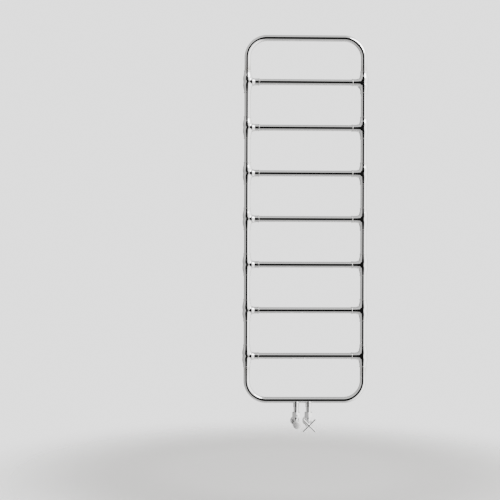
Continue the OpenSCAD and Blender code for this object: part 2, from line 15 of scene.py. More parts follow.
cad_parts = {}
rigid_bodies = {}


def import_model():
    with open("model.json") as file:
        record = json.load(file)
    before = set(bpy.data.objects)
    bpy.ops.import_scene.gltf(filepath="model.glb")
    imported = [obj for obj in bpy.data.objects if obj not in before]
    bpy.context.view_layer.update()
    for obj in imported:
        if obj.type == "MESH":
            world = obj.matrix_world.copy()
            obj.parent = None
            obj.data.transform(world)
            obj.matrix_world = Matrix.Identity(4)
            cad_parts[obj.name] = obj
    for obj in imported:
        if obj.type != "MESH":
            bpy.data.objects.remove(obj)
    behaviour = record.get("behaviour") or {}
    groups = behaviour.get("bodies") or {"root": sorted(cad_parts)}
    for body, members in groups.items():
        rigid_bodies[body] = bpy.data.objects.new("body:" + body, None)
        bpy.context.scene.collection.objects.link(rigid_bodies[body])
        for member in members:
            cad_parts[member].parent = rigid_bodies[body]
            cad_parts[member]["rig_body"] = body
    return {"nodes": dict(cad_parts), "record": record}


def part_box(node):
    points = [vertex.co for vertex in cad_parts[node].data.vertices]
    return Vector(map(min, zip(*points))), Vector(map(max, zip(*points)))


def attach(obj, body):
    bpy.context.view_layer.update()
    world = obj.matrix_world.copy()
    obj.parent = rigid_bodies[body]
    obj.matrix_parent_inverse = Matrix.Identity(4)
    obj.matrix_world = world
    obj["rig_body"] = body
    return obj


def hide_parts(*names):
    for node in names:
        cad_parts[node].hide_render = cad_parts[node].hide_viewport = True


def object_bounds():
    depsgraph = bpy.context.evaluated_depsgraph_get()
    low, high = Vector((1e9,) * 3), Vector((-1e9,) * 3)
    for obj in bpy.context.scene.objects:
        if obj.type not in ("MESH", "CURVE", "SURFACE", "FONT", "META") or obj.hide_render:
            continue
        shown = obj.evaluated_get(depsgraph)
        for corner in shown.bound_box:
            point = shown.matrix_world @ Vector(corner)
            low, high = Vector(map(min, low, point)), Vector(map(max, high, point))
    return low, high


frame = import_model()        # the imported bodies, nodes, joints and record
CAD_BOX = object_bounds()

MM = 0.001
ROUND = 72  # sides of a turned piece
FINE = 96  # sides of a large turned piece
SMALL = 32  # sides of a grub screw and its hole
PAST = 1 * MM  # how far a cutting tool runs past the face it cuts
CREASE = math.radians(32)  # edges sharper than this stay crisp
log = logging.getLogger("towel_rail")

Profile = list[tuple[float, float]]
Points = np.ndarray


class Slot(Enum):
    """The record's material slots."""

    TUBE = "chrome_tube"
    FITTING = "chrome_fitting"
    BRASS = "bare_brass"
    STEEL = "steel_screw"
    RUBBER = "rubber_seal"
    FIBRE = "fibre_washer"


class Side(Enum):
    """The two valves, by their place under the rail."""

    LOCKSHIELD = -1
    MANUAL = 1


# ---------------------------------------------------------------- node trees


class Graph:
    """A shader or geometry node tree that is being built."""

    def __init__(self, tree: bpy.types.NodeTree) -> None:
        """Start on a tree, which is emptied first."""
        self.tree = tree
        tree.nodes.clear()

    def node(
        self,
        kind: str,
        settings: dict[str, object] | None = None,
        inputs: dict[int | str, object] | None = None,
        output: int | str = 0,
    ) -> "Wire":
        """Add one node.

        Args:
            kind: The node's type name.
            settings: Properties that are set before the inputs; "stops" fills a colour ramp.
            inputs: Values or wires for the input sockets, by index or name.
            output: The output socket that the returned wire stands for.

        Returns:
            A wire from the chosen output.
        """
        made = self.tree.nodes.new(kind)
        for key, value in (settings or {}).items():
            if key == "stops":
                self._fill_ramp(made.color_ramp, value)
            else:
                setattr(made, key, value)
        for key, value in (inputs or {}).items():
            if isinstance(value, Wire):
                self.tree.links.new(value.socket, made.inputs[key])
            else:
                made.inputs[key].default_value = value
        outputs = made.outputs
        return Wire(self, outputs[output] if len(outputs) else None, made)

    @staticmethod
    def _fill_ramp(ramp: bpy.types.ColorRamp, stops: Sequence[tuple[float, float]]) -> None:
        """Set a ramp's stops, each a place and a grey level."""
        while len(ramp.elements) < len(stops):
            ramp.elements.new(1.0)
        for element, (place, grey) in zip(ramp.elements, stops):
            element.position = place
            element.color = (grey, grey, grey, 1.0)


class Wire:
    """One output socket; Python's operators on it add Math nodes."""

    def __init__(self, graph: Graph, socket: bpy.types.NodeSocket, owner: bpy.types.Node) -> None:
        """Wrap a socket of a node in a graph."""
        self.graph = graph
        self.socket = socket
        self.owner = owner

    def out(self, name: int | str) -> "Wire":
        """Another output of the same node."""
        return Wire(self.graph, self.owner.outputs[name], self.owner)

    def maths(self, operation: str, *values: "Wire | float") -> "Wire":
        """A Math node on this value and others."""
        inputs = dict(enumerate((self, *values)))
        return self.graph.node("ShaderNodeMath", {"operation": operation}, inputs)

    def __add__(self, other: "Wire | float") -> "Wire":
        """Sum."""
        return self.maths("ADD", other)

    __radd__ = __add__

    def __mul__(self, other: "Wire | float") -> "Wire":
        """Product."""
        return self.maths("MULTIPLY", other)

    __rmul__ = __mul__

    def __sub__(self, other: "Wire | float") -> "Wire":
        """Difference."""
        return self.maths("SUBTRACT", other)

    def __rsub__(self, other: float) -> "Wire":
        """A number less this value."""
        return self.graph.node("ShaderNodeMath", {"operation": "SUBTRACT"}, {0: other, 1: self})

    def __truediv__(self, other: "Wire | float") -> "Wire":
        """Quotient."""
        return self.maths("DIVIDE", other)

    def __abs__(self) -> "Wire":
        """Size without sign."""
        return self.maths("ABSOLUTE")

    def smooth(self, low: float, high: float) -> "Wire":
        """0 below low, 1 above high, and a smooth rise between."""
        inputs = {0: self, 1: low, 2: high, 3: 0.0, 4: 1.0}
        settings = {"interpolation_type": "SMOOTHSTEP", "clamp": True}
        return self.graph.node("ShaderNodeMapRange", settings, inputs)


Colour = tuple[float, float, float]


class FinishGraph(Graph):
    """The node tree of one finish, with the patterns that the finishes share."""

    def __init__(self, name: str) -> None:
        """Make the material and its empty tree."""
        self.material = bpy.data.materials.new(name)
        self.material.use_nodes = True
        super().__init__(self.material.node_tree)
        self.place = self.node("ShaderNodeTexCoord", output="Object")

    def stretched(self, scale: tuple[float, float, float]) -> Wire:
        """Object coordinates, scaled unevenly."""
        return self.node("ShaderNodeMapping", None, {"Vector": self.place, "Scale": scale})

    def noise(self, size: float, detail: float = 3.0, vector: Wire | None = None) -> Wire:
        """Noise whose features are about size metres across."""
        inputs = {"Vector": vector or self.place, "Scale": 1.0 / size, "Detail": detail}
        return self.node("ShaderNodeTexNoise", None, inputs)

    def cells(self, size: float, output: str = "Distance") -> Wire:
        """Cells about size metres across: the distance to their centres, or their colours."""
        inputs = {"Vector": self.place, "Scale": 1.0 / size}
        return self.node("ShaderNodeTexVoronoi", None, inputs, output)

    def mix(self, factor: Wire, low: "Wire | Colour", high: "Wire | Colour") -> Wire:
        """Colour from low to high by a factor."""
        low, high = (c if isinstance(c, Wire) else (*c, 1.0) for c in (low, high))
        inputs = {"Factor": factor, 6: low, 7: high}
        return self.node("ShaderNodeMix", {"data_type": "RGBA"}, inputs, 2)

    def attribute(self, name: str) -> Wire:
        """A number that a mesh carries at each of its points."""
        return self.node("ShaderNodeAttribute", {"attribute_name": name}, output="Fac")

    def bump(self, height: Wire, strength: float, distance: float) -> Wire:
        """Normals tilted by a height."""
        inputs = {"Height": height, "Strength": strength, "Distance": distance}
        return self.node("ShaderNodeBump", None, inputs)

    def surface(self, inputs: dict[int | str, object]) -> bpy.types.Material:
        """Close the tree with a Principled shader.

        Args:
            inputs: The shader's sockets.

        Returns:
            The finished material.
        """
        shader = self.node("ShaderNodeBsdfPrincipled", None, inputs)
        self.node("ShaderNodeOutputMaterial", None, {"Surface": shader})
        return self.material


# ---------------------------------------------------------------- finishes


@dataclass(frozen=True)
class ChromeFinish:
    """Bright chrome plate: hand smears, dried water spots, and corners darkened partly by a polish deposit
    and partly by painted shade.
    """

    name: str
    tint: Colour = (0.84, 0.845, 0.85)
    dull: Colour = (0.66, 0.66, 0.65)
    # dark brown mixed in at the corners: a polish deposit together with painted shade in the creases
    deposit_and_shade: Colour = (0.30, 0.27, 0.23)
    polish: float = 0.035  # roughness of the clean plate
    smear: float = 0.10  # added roughness in the smears
    smear_size: float = 45 * MM
    spot_size: float = 7 * MM
    spot_share: float = 0.13  # share of the cells that hold a dried spot
    peel_size: float = 5 * MM
    peel: float = 0.05

    def make(self) -> bpy.types.Material:
        """Build the material."""
        g = FinishGraph(self.name)
        smears = g.noise(self.smear_size, 4.0).smooth(0.48, 0.74)
        wiped = g.noise(self.smear_size / 6, 3.0, g.stretched((0.35, 1.0, 1.0))).smooth(0.42, 0.8)
        chosen = g.cells(self.spot_size, "Color").maths("LESS_THAN", self.spot_share)
        ring = g.cells(self.spot_size)
        spots = chosen * ring.smooth(0.10, 0.24) * (1.0 - ring.smooth(0.26, 0.34))
        # the corner mask: polish deposit and painted shade in creases, mouths and crotches
        corner = g.attribute("corner").smooth(0.0, 1.0)
        haze = smears * wiped
        colour = g.mix(haze * 0.35 + spots * 0.3, self.tint, self.dull)
        # painted shade with the polish deposit: corners darken toward the dark brown and grow rougher
        colour = g.mix(corner * (0.45 + 0.4 * smears), colour, self.deposit_and_shade)
        rough = self.polish + haze * self.smear + spots * 0.12 + corner * 0.22
        height = g.noise(self.peel_size, 1.0) + spots * 0.3
        return g.surface({
            "Base Color": colour,
            "Metallic": 1.0,
            "Roughness": rough,
            "Normal": g.bump(height, self.peel, 0.1 * MM),
        })


@dataclass(frozen=True)
class BrassFinish:
    """Machined brass: turning marks, and tarnish in patches."""

    name: str
    bright: Colour = (0.80, 0.62, 0.33)
    tarnish: Colour = (0.42, 0.27, 0.12)
    patch_size: float = 6 * MM
    mark_size: float = 0.5 * MM

    def make(self) -> bpy.types.Material:
        """Build the material."""
        g = FinishGraph(self.name)
        patches = g.noise(self.patch_size, 4.0).smooth(0.42, 0.72)
        marks = g.noise(self.mark_size, 2.0, g.stretched((0.12, 1.0, 0.12)))
        return g.surface({
            "Base Color": g.mix(patches * 0.6 + marks * 0.1, self.bright, self.tarnish),
            "Metallic": 1.0,
            "Roughness": 0.2 + 0.18 * patches + 0.1 * marks,
            "Normal": g.bump(marks, 0.25, 0.05 * MM),
        })


@dataclass(frozen=True)
class SteelFinish:
    """Blackened steel of the grub screws, rubbed bright in places."""

    name: str
    black: Colour = (0.06, 0.06, 0.065)
    rubbed: Colour = (0.42, 0.42, 0.43)

    def make(self) -> bpy.types.Material:
        """Build the material."""
        g = FinishGraph(self.name)
        worn = g.noise(1.6 * MM, 4.0).smooth(0.5, 0.7)
        grain = g.noise(0.3 * MM, 2.0)
        return g.surface({
            "Base Color": g.mix(worn, self.black, self.rubbed),
            "Metallic": 0.9,
            "Roughness": 0.5 - 0.2 * worn + 0.1 * grain,
            "Normal": g.bump(grain, 0.3, 0.03 * MM),
        })


@dataclass(frozen=True)
class SealFinish:
    """Rubber or pressed fibre, with the grain of either."""

    name: str
    dark: Colour
    light: Colour
    grain_size: float
    rough: float

    def make(self) -> bpy.types.Material:
        """Build the material."""
        g = FinishGraph(self.name)
        grain = g.noise(self.grain_size, 4.0, g.stretched((1.0, 1.0, 0.3)))
        bloom = g.noise(self.grain_size * 8, 2.0).smooth(0.4, 0.8)
        return g.surface({
            "Base Color": g.mix(grain * 0.6 + bloom * 0.4, self.dark, self.light),
            "Roughness": self.rough + 0.15 * bloom,
            "Normal": g.bump(grain, 0.4, 0.08 * MM),
        })


@dataclass(frozen=True)
class FloorFinish:
    """Pale studio floor that fades out round the rail."""

    name: str = "studio_floor"
    pale: Colour = (0.86, 0.86, 0.855)
    warm: Colour = (0.84, 0.835, 0.825)
    fade_from: float = 0.5
    fade_to: float = 1.95

    def make(self) -> bpy.types.Material:
        """Build the material."""
        g = FinishGraph(self.name)
        centred = g.node("ShaderNodeMapping", None, {"Vector": g.place, "Scale": (1.0, 1.0, 0.0)})
        away = g.node("ShaderNodeVectorMath", {"operation": "LENGTH"}, {0: centred}, "Value")
        mottle = g.noise(60 * MM, 5.0)
        return g.surface({
            "Base Color": g.mix(mottle, self.pale, self.warm),
            "Roughness": 0.55 + 0.1 * mottle,
            "Alpha": 1.0 - away.smooth(self.fade_from, self.fade_to),
        })


class Palette:
    """Every finish of the rail, made once."""

    def __init__(self) -> None:
        """Make the materials."""
        self.materials: dict[Slot, bpy.types.Material] = {
            Slot.TUBE: ChromeFinish("chrome_tube_plate").make(),
            Slot.FITTING: ChromeFinish("chrome_fitting_plate", smear_size=28 * MM, peel=0.04).make(),
            Slot.BRASS: BrassFinish("machined_brass").make(),
            Slot.STEEL: SteelFinish("blackened_steel").make(),
            Slot.RUBBER: SealFinish(
                "black_rubber", (0.012, 0.012, 0.013), (0.05, 0.05, 0.052), 0.4 * MM, 0.55
            ).make(),
            Slot.FIBRE: SealFinish(
                "red_fibre", (0.26, 0.07, 0.04), (0.50, 0.20, 0.13), 0.7 * MM, 0.75
            ).make(),
        }
        self.satin = ChromeFinish(
            "satin_chrome_plate", (0.93, 0.93, 0.93), polish=0.5, smear=0.06, peel=0.03
        ).make()

    def __getitem__(self, slot: Slot) -> bpy.types.Material:
        """The material of a slot."""
        return self.materials[slot]


# ---------------------------------------------------------------- sizes


@dataclass(frozen=True)
class RailSizes:
    """Driving sizes of the frame in metres, as packed."""

    tube_r: float
    up_x: float
    plane_y: float
    top_z: float
    bar_z: tuple[float, ...]
    valve_x: dict[Side, float]
    valve_z: float
    vent_x: float
    corner_r: float = 80 * MM
    wall: float = 1.5 * MM
    vent_boss: float = 5 * MM  # height of the boss under the air vent

    @classmethod
    def from_frame(cls) -> "RailSizes":
        """Read the sizes off the CAD nodes' boxes."""
        low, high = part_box("crossbar_1")
        bars = [middle_of(name) for name in sorted(frame["nodes"]) if name.startswith("crossbar_")]
        handle, vent = middle_of("cross_handle"), middle_of("air_vent_body")
        tube_r = (high.z - low.z) / 2
        return cls(
            tube_r=tube_r,
            up_x=middle_of("upright_right_tubes").x,
            plane_y=bars[0].y,
            top_z=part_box("top_bow")[1].z - tube_r,
            bar_z=tuple(bar.z for bar in bars),
            valve_x={Side.MANUAL: handle.x, Side.LOCKSHIELD: middle_of("lockshield_cap").x},
            valve_z=handle.z,
            vent_x=vent.x,
        )


def middle_of(node: str) -> Vector:
    """The middle of a CAD node's box."""
    return sum(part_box(node), Vector()) / 2


# ---------------------------------------------------------------- shapes


def swell(start: tuple[float, float], end: tuple[float, float], steps: int = 16) -> Profile:
    """A smooth S from one point of a profile to another.

    Args:
        start: First (radius, height).
        end: Last (radius, height).
        steps: Stretches between them.

    Returns:
        The points, both ends included.
    """
    (r0, h0), (r1, h1) = start, end
    share = [k / steps for k in range(steps + 1)]
    return [(r0 + (r1 - r0) * (1 - math.cos(math.pi * t)) / 2, h0 + (h1 - h0) * t) for t in share]


def eased(points: Sequence[tuple[float, ...]], ease: float = 0.5 * MM, steps: int = 5) -> Profile:
    """Round the corners of an outline.

    Args:
        points: (radius, height) or (radius, height, ease) of each corner.
        ease: Rounding of the corners that name none.
        steps: Stretches in each rounded corner.

    Returns:
        The outline with arcs in place of its inner corners.
    """
    out: Profile = [points[0][:2]]
    for before, here, after in zip(points, points[1:], points[2:]):
        size = here[2] if len(here) > 2 else ease
        at, to_a, to_b = (Vector(p[:2]) for p in (here, before, after))
        to_a, to_b = to_a - at, to_b - at
        reach = min(size, to_a.length * 0.49, to_b.length * 0.49)
        if reach < 1e-6 or to_a.normalized().dot(to_b.normalized()) < -0.9995:
            out.append(tuple(at))
            continue
        a, b = at + to_a.normalized() * reach, at + to_b.normalized() * reach
        for k in range(steps + 1):
            t = k / steps
            out.append(tuple(a * (1 - t) ** 2 + at * 2 * t * (1 - t) + b * t**2))
    out.append(points[-1][:2])
    return out


def spaced(profile: Profile, step: float) -> Profile:
    """Add points to a profile so that none are further apart than step."""
    out = [profile[0]]
    for (r0, h0), (r1, h1) in zip(profile, profile[1:]):
        count = max(1, math.ceil(math.hypot(r1 - r0, h1 - h0) / step))
        out += [(r0 + (r1 - r0) * k / count, h0 + (h1 - h0) * k / count) for k in range(1, count + 1)]
    return out


def along(axis: Vector, at: Vector) -> Matrix:
    """A frame at a point whose +Z runs along an axis."""
    turn = Vector((0, 0, 1)).rotation_difference(axis.normalized()).to_matrix().to_4x4()
    return Matrix.Translation(at) @ turn


FORWARD = Vector((0, -1, 0))
WALLWARD = Vector((0, 1, 0))
UP = Vector((0, 0, 1))
HERE = Vector((0, 0, 0))


def lathe(profile: Profile, sides: int = ROUND, ring: bool = False) -> bpy.types.Mesh:
    """Turn a profile round Z.

    Args:
        profile: (radius, height) of each point; a radius of 0 is a pole.
        sides: Steps round the axis.
        ring: Whether the profile closes on itself, as a tube's wall does.

    Returns:
        A closed mesh whose faces point outwards.
    """
    bm = bmesh.new()
    turns = [(math.cos(a), math.sin(a)) for a in np.linspace(0, 2 * math.pi, sides, endpoint=False)]
    rows = [
        [bm.verts.new((0, 0, h))] if r < 1e-7 else [bm.verts.new((r * c, r * s, h)) for c, s in turns]
        for r, h in profile
    ]
    for low, high in zip(rows, rows[1:] + ([rows[0]] if ring else [])):
        for k in range(sides):
            n = (k + 1) % sides
            corners = [low[k % len(low)], low[n % len(low)], high[n % len(high)], high[k % len(high)]]
            distinct = list(dict.fromkeys(corners))
            if len(distinct) > 2:
                bm.faces.new(distinct)
    if not ring:
        for row in (rows[0], rows[-1]):
            if len(row) > 1:
                bm.faces.new(row)
    return to_mesh(bm)


def rod(radius: float, start: float, end: float, sides: int = ROUND) -> bpy.types.Mesh:
    """Plain cylinder on Z from one height to another, for a drill or a stub."""
    return lathe([(0, start), (radius, start), (radius, end), (0, end)], sides)


def prism(flats: float, height: float, ease: float = 0.35 * MM) -> bpy.types.Mesh:
    """Hexagonal prism on Z from its width across flats, with eased corners."""
    bm = bmesh.new()
    bmesh.ops.create_cone(
        bm, cap_ends=True, segments=6, radius1=flats / 2 / math.cos(math.pi / 6),
        radius2=flats / 2 / math.cos(math.pi / 6), depth=height,
    )
    bmesh.ops.translate(bm, verts=bm.verts, vec=(0, 0, height / 2))
    sides = [e for e in bm.edges if abs(e.verts[0].co.z - e.verts[1].co.z) > height / 2]
    bmesh.ops.bevel(bm, geom=sides, offset=ease, segments=3, affect="EDGES", profile=0.5)
    return to_mesh(bm)


def to_mesh(bm: bmesh.types.BMesh) -> bpy.types.Mesh:
    """Merge doubles, point the faces outwards and store the mesh."""
    bmesh.ops.remove_doubles(bm, verts=bm.verts, dist=1e-7)
    bmesh.ops.recalc_face_normals(bm, faces=bm.faces)
    mesh = bpy.data.meshes.new("shape")
    bm.to_mesh(mesh)
    bm.free()
    return mesh


def placed(mesh: bpy.types.Mesh, *frames: Matrix) -> bpy.types.Mesh:
    """A copy of a mesh in each frame, joined."""
    bm = bmesh.new()
    for matrix in frames:
        part = mesh.copy()
        part.transform(matrix)
        bm.from_mesh(part)
        bpy.data.meshes.remove(part)
    out = bpy.data.meshes.new("placed")
    bm.to_mesh(out)
    bm.free()
    return out


def evaluated(obj: bpy.types.Object) -> bpy.types.Mesh:
    """The plain mesh that an object's modifiers make; the object is removed."""
    bpy.context.view_layer.update()
    graph = bpy.context.evaluated_depsgraph_get()
    mesh = bpy.data.meshes.new_from_object(obj.evaluated_get(graph), depsgraph=graph)
    bpy.data.objects.remove(obj)
    return mesh


def holder(mesh: bpy.types.Mesh) -> bpy.types.Object:
    """A passing object for a mesh."""
    obj = bpy.data.objects.new("holder", mesh)
    bpy.context.scene.collection.objects.link(obj)
    return obj


def combine(base: bpy.types.Mesh, operation: str, *tools: bpy.types.Mesh) -> bpy.types.Mesh:
    """Join, cut or keep the common part of solids.

    Args:
        base: The first solid.
        operation: UNION, DIFFERENCE or INTERSECT.
        tools: The solids that act on it, in order.

    Returns:
        The resulting solid.
    """
    obj = holder(base)
    helpers = [holder(tool) for tool in tools]
    for helper in helpers:
        step = obj.modifiers.new("step", "BOOLEAN")
        step.operation, step.object, step.solver = operation, helper, "EXACT"
    mesh = evaluated(obj)
    for helper in helpers:
        bpy.data.objects.remove(helper)
    return mesh


def points_of(mesh: bpy.types.Mesh) -> Points:
    """A mesh's vertices as rows."""
    co = np.empty(len(mesh.vertices) * 3)
    mesh.vertices.foreach_get("co", co)
    return co.reshape(-1, 3)


@dataclass(frozen=True)
class Turning:
    """A turned body that others are blended with."""

    frame: Matrix
    profile: tuple[tuple[float, float], ...]

    def depth(self, points: Points) -> Points:
        """Signed distance, nearly, from the turned surface: negative inside."""
        inverse = np.array(self.frame.inverted())
        local = points @ inverse[:3, :3].T + inverse[:3, 3]
        heights = [h for _, h in self.profile]
        radius = np.interp(local[:, 2], heights, [r for r, _ in self.profile])
        side = np.hypot(local[:, 0], local[:, 1]) - radius
        past = np.maximum(local[:, 2] - heights[-1], heights[0] - local[:, 2])
        return np.maximum(side, past)

    def mesh(self, step: float, sides: int = FINE) -> bpy.types.Mesh:
        """The turned solid itself, with rows no further apart than step."""
        shape = lathe(spaced(list(self.profile), step), sides)
        return placed(shape, self.frame)


def blended(turnings: Sequence[Turning], fillet: float, step: float) -> tuple[bpy.types.Mesh, Callable]:
    """Join turned bodies with a soft fillet where they meet.

    Args:
        turnings: The bodies; the first one is the base.
        fillet: Reach of the fillet.
        step: Spacing of the mesh rows.

    Returns:
        The joined solid, and a function that gives its surface normals near a fillet.
    """
    first, *others = turnings
    mesh = combine(first.mesh(step), "UNION", *(t.mesh(step) for t in others))

    def field(points: Points) -> tuple[Points, Points]:
        """Blended distance, and how far the second nearest body is."""
        depths = np.sort(np.array([t.depth(points) for t in turnings]), axis=0)
        near, second = depths[0], depths[1]
        share = np.clip(0.5 + 0.5 * (second - near) / fillet, 0, 1)
        soft = near * share + second * (1 - share) - fillet * share * (1 - share)
        return soft, second - near

    def slope(points: Points) -> Points:
        """Direction in which the blended distance grows."""
        tiny = 0.02 * MM
        steps = np.eye(3) * tiny
        out = np.stack([field(points + s)[0] - field(points - s)[0] for s in steps], axis=1)
        return out / np.maximum(np.linalg.norm(out, axis=1, keepdims=True), 1e-12)

    co = points_of(mesh)
    for _ in range(4):
        soft, gap = field(co)
        moving = gap < fillet
        co[moving] -= soft[moving, None] * slope(co[moving])
    mesh.vertices.foreach_set("co", co.ravel())
    mesh.update()

    def normals(points: Points) -> tuple[Points, Points]:
        """Normals, and which points lie on or near a fillet."""
        soft, gap = field(points)
        return slope(points), (gap < fillet * 1.25) & (np.abs(soft) < 0.05 * MM)

    return mesh, normals


def shade(mesh: bpy.types.Mesh, normals: Callable | None = None) -> bpy.types.Mesh:
    """Shade a mesh smooth between its crisp edges, with true normals on its fillets."""
    mesh.polygons.foreach_set("use_smooth", [True] * len(mesh.polygons))
    mesh.set_sharp_from_angle(angle=CREASE)
    if normals:
        corner = np.empty(len(mesh.loops) * 3, np.float32)
        mesh.corner_normals.foreach_get("vector", corner)
        corner = corner.reshape(-1, 3)
        index = np.empty(len(mesh.loops), np.int32)
        mesh.loops.foreach_get("vertex_index", index)
        true, on_fillet = normals(points_of(mesh))
        chosen = on_fillet[index] & ((corner * true[index]).sum(1) > 0.8)
        corner[chosen] = true[index][chosen]
        mesh.normals_split_custom_set(corner.tolist())
    return mesh


def mark_deposit_and_shade(mesh: bpy.types.Mesh, closeness: Callable[[Points], Points]) -> None:
    """Store how deep each point lies in a corner, where polish and dirt collect and where the finishes paint
    shade.
    """
    layer = mesh.attributes.new("corner", "FLOAT", "POINT")
    values = np.clip(closeness(points_of(mesh)), 0, 1)
    layer.data.foreach_set("value", values.astype(np.float32))


# ---------------------------------------------------------------- geometry node trees


class TubeTree:
    """Node tree that bends a round tube along a path, with true arcs at its corners."""

    def __init__(self) -> None:
        """Build the tree."""
        self.tree = bpy.data.node_groups.new("bent_tube", "GeometryNodeTree")
        g = Graph(self.tree)
        face = self.tree.interface
        face.new_socket("Path", in_out="INPUT", socket_type="NodeSocketGeometry")
        self.sockets = {
            name: face.new_socket(name, in_out="INPUT", socket_type=kind).identifier
            for name, kind in (
                ("Bend radius", "NodeSocketFloat"),
                ("Bend steps", "NodeSocketInt"),
                ("Tube radius", "NodeSocketFloat"),
                ("Sides", "NodeSocketInt"),
                ("Finish", "NodeSocketMaterial"),
            )
        }
        face.new_socket("Tube", in_out="OUTPUT", socket_type="NodeSocketGeometry")
        given = g.node("NodeGroupInput")
        path = g.node("GeometryNodeMeshToCurve", None, {0: given.out("Path")})
        bent = g.node(
            "GeometryNodeFilletCurve", {"mode": "POLY"},
            {0: path, "Count": given.out("Bend steps"), "Radius": given.out("Bend radius")},
        )
        ring = g.node(
            "GeometryNodeCurvePrimitiveCircle", None,
            {"Resolution": given.out("Sides"), "Radius": given.out("Tube radius")},
        )
        skin = g.node("GeometryNodeCurveToMesh", None, {0: bent, 1: ring})
        smooth = g.node("GeometryNodeSetShadeSmooth", None, {0: skin})
        real = g.node("GeometryNodeRealizeInstances", None, {0: smooth})
        done = g.node("GeometryNodeSetMaterial", None, {0: real, "Material": given.out("Finish")})
        g.node("NodeGroupOutput", None, {0: done})

    def tube(
        self, path: Sequence[Vector], radius: float, wall: float, finish: bpy.types.Material,
        bend: float = 0.0,
    ) -> bpy.types.Mesh:
        """Make one tube.

        Args:
            path: The corners of its centreline.
            radius: Outer radius.
            wall: Wall thickness.
            finish: Its material.
            bend: Radius of the arcs at the corners.

        Returns:
            A closed mesh of the tube's wall.
        """
        line = bpy.data.meshes.new("path")
        line.from_pydata([tuple(p) for p in path], [(k, k + 1) for k in range(len(path) - 1)], [])
        obj = holder(line)
        maker = obj.modifiers.new("tube", "NODES")
        maker.node_group = self.tree
        values = (max(bend, 1 * MM), 28 if bend else 1, radius, FINE, finish)
        for identifier, value in zip(self.sockets.values(), values):
            maker[identifier] = value
        bore = obj.modifiers.new("bore", "SOLIDIFY")
        bore.thickness, bore.offset = wall, -1.0
        return evaluated(obj)


class PlacesTree:
    """Node tree that sets the same piece at each of a few places."""

    def __init__(self) -> None:
        """Build the tree."""
        self.tree = bpy.data.node_groups.new("same_piece_at_places", "GeometryNodeTree")
        g = Graph(self.tree)
        face = self.tree.interface
        face.new_socket("Places", in_out="INPUT", socket_type="NodeSocketGeometry")
        self.sockets = {
            name: face.new_socket(name, in_out="INPUT", socket_type=kind).identifier
            for name, kind in (("Piece", "NodeSocketObject"), ("Finish", "NodeSocketMaterial"))
        }
        face.new_socket("Pieces", in_out="OUTPUT", socket_type="NodeSocketGeometry")
        given = g.node("NodeGroupInput")
        piece = g.node(
            "GeometryNodeObjectInfo", {"transform_space": "ORIGINAL"},
            {0: given.out("Piece")}, "Geometry",
        )
        spots = g.node("GeometryNodeMeshToPoints", None, {0: given.out("Places")})
        set_out = g.node("GeometryNodeInstanceOnPoints", None, {0: spots, "Instance": piece})
        real = g.node("GeometryNodeRealizeInstances", None, {0: set_out})
        done = g.node("GeometryNodeSetMaterial", None, {0: real, "Material": given.out("Finish")})
        g.node("NodeGroupOutput", None, {0: done})

    def repeat(
        self, piece: bpy.types.Mesh, places: Sequence[Vector], finish: bpy.types.Material
    ) -> bpy.types.Mesh:
        """Set a piece at each place.

        Args:
            piece: The mesh, round its own origin.
            places: Where it goes.
            finish: Its material.

        Returns:
            One plain mesh of them all.
        """
        spots = bpy.data.meshes.new("places")
        spots.from_pydata([tuple(p) for p in places], [], [])
        model, obj = holder(piece), holder(spots)
        maker = obj.modifiers.new("places", "NODES")
        maker.node_group = self.tree
        for identifier, value in zip(self.sockets.values(), (model, finish)):
            maker[identifier] = value
        mesh = evaluated(obj)
        bpy.data.objects.remove(model)
        return mesh


# ---------------------------------------------------------------- pieces


class Workshop:
    """What every sub-assembly needs to finish its pieces."""

    def __init__(self, sizes: RailSizes) -> None:
        """Make the palette and the node trees.

        Args:
            sizes: The rail's driving sizes.
        """
        self.sizes = sizes
        self.palette = Palette()
        self.tubes = TubeTree()
        self.places = PlacesTree()

    def body_of(self, node: str) -> str:
        """The CAD body that a node rides on."""
        return frame["nodes"][node]["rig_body"]

    def hand_in(
        self,
        node: str,
        mesh: bpy.types.Mesh,
        slot: Slot = Slot.FITTING,
        normals: Callable | None = None,
        finish: bpy.types.Material | None = None,
    ) -> bpy.types.Object:
        """Put a finished mesh in the place of a CAD node.

        Args:
            node: The CAD node, whose name with a suffix the piece takes.
            mesh: The finished mesh, in place.
            slot: The record's slot.
            normals: True normals near fillets, where the piece has any.
            finish: Its material, where that isn't the slot's own.

        Returns:
            The piece.
        """
        mesh.name = node + "_shape"
        mesh.materials.clear()
        mesh.materials.append(finish or self.palette[slot])
        mesh.polygons.foreach_set("material_index", [0] * len(mesh.polygons))
        shade(mesh, normals)
        piece = bpy.data.objects.new(node + "_finished", mesh)
        bpy.context.scene.collection.objects.link(piece)
        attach(piece, self.body_of(node))
        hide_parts(node)
        log.info("%s: %d faces", node, len(mesh.polygons))
        return piece

    def dress(self, node: str, slot: Slot) -> None:
        """Give a CAD node, whose shape stays, its finish."""
        obj = frame["nodes"][node]
        for place in obj.material_slots:
            place.material = self.palette[slot]
        log.info("%s: CAD shape, dressed", node)


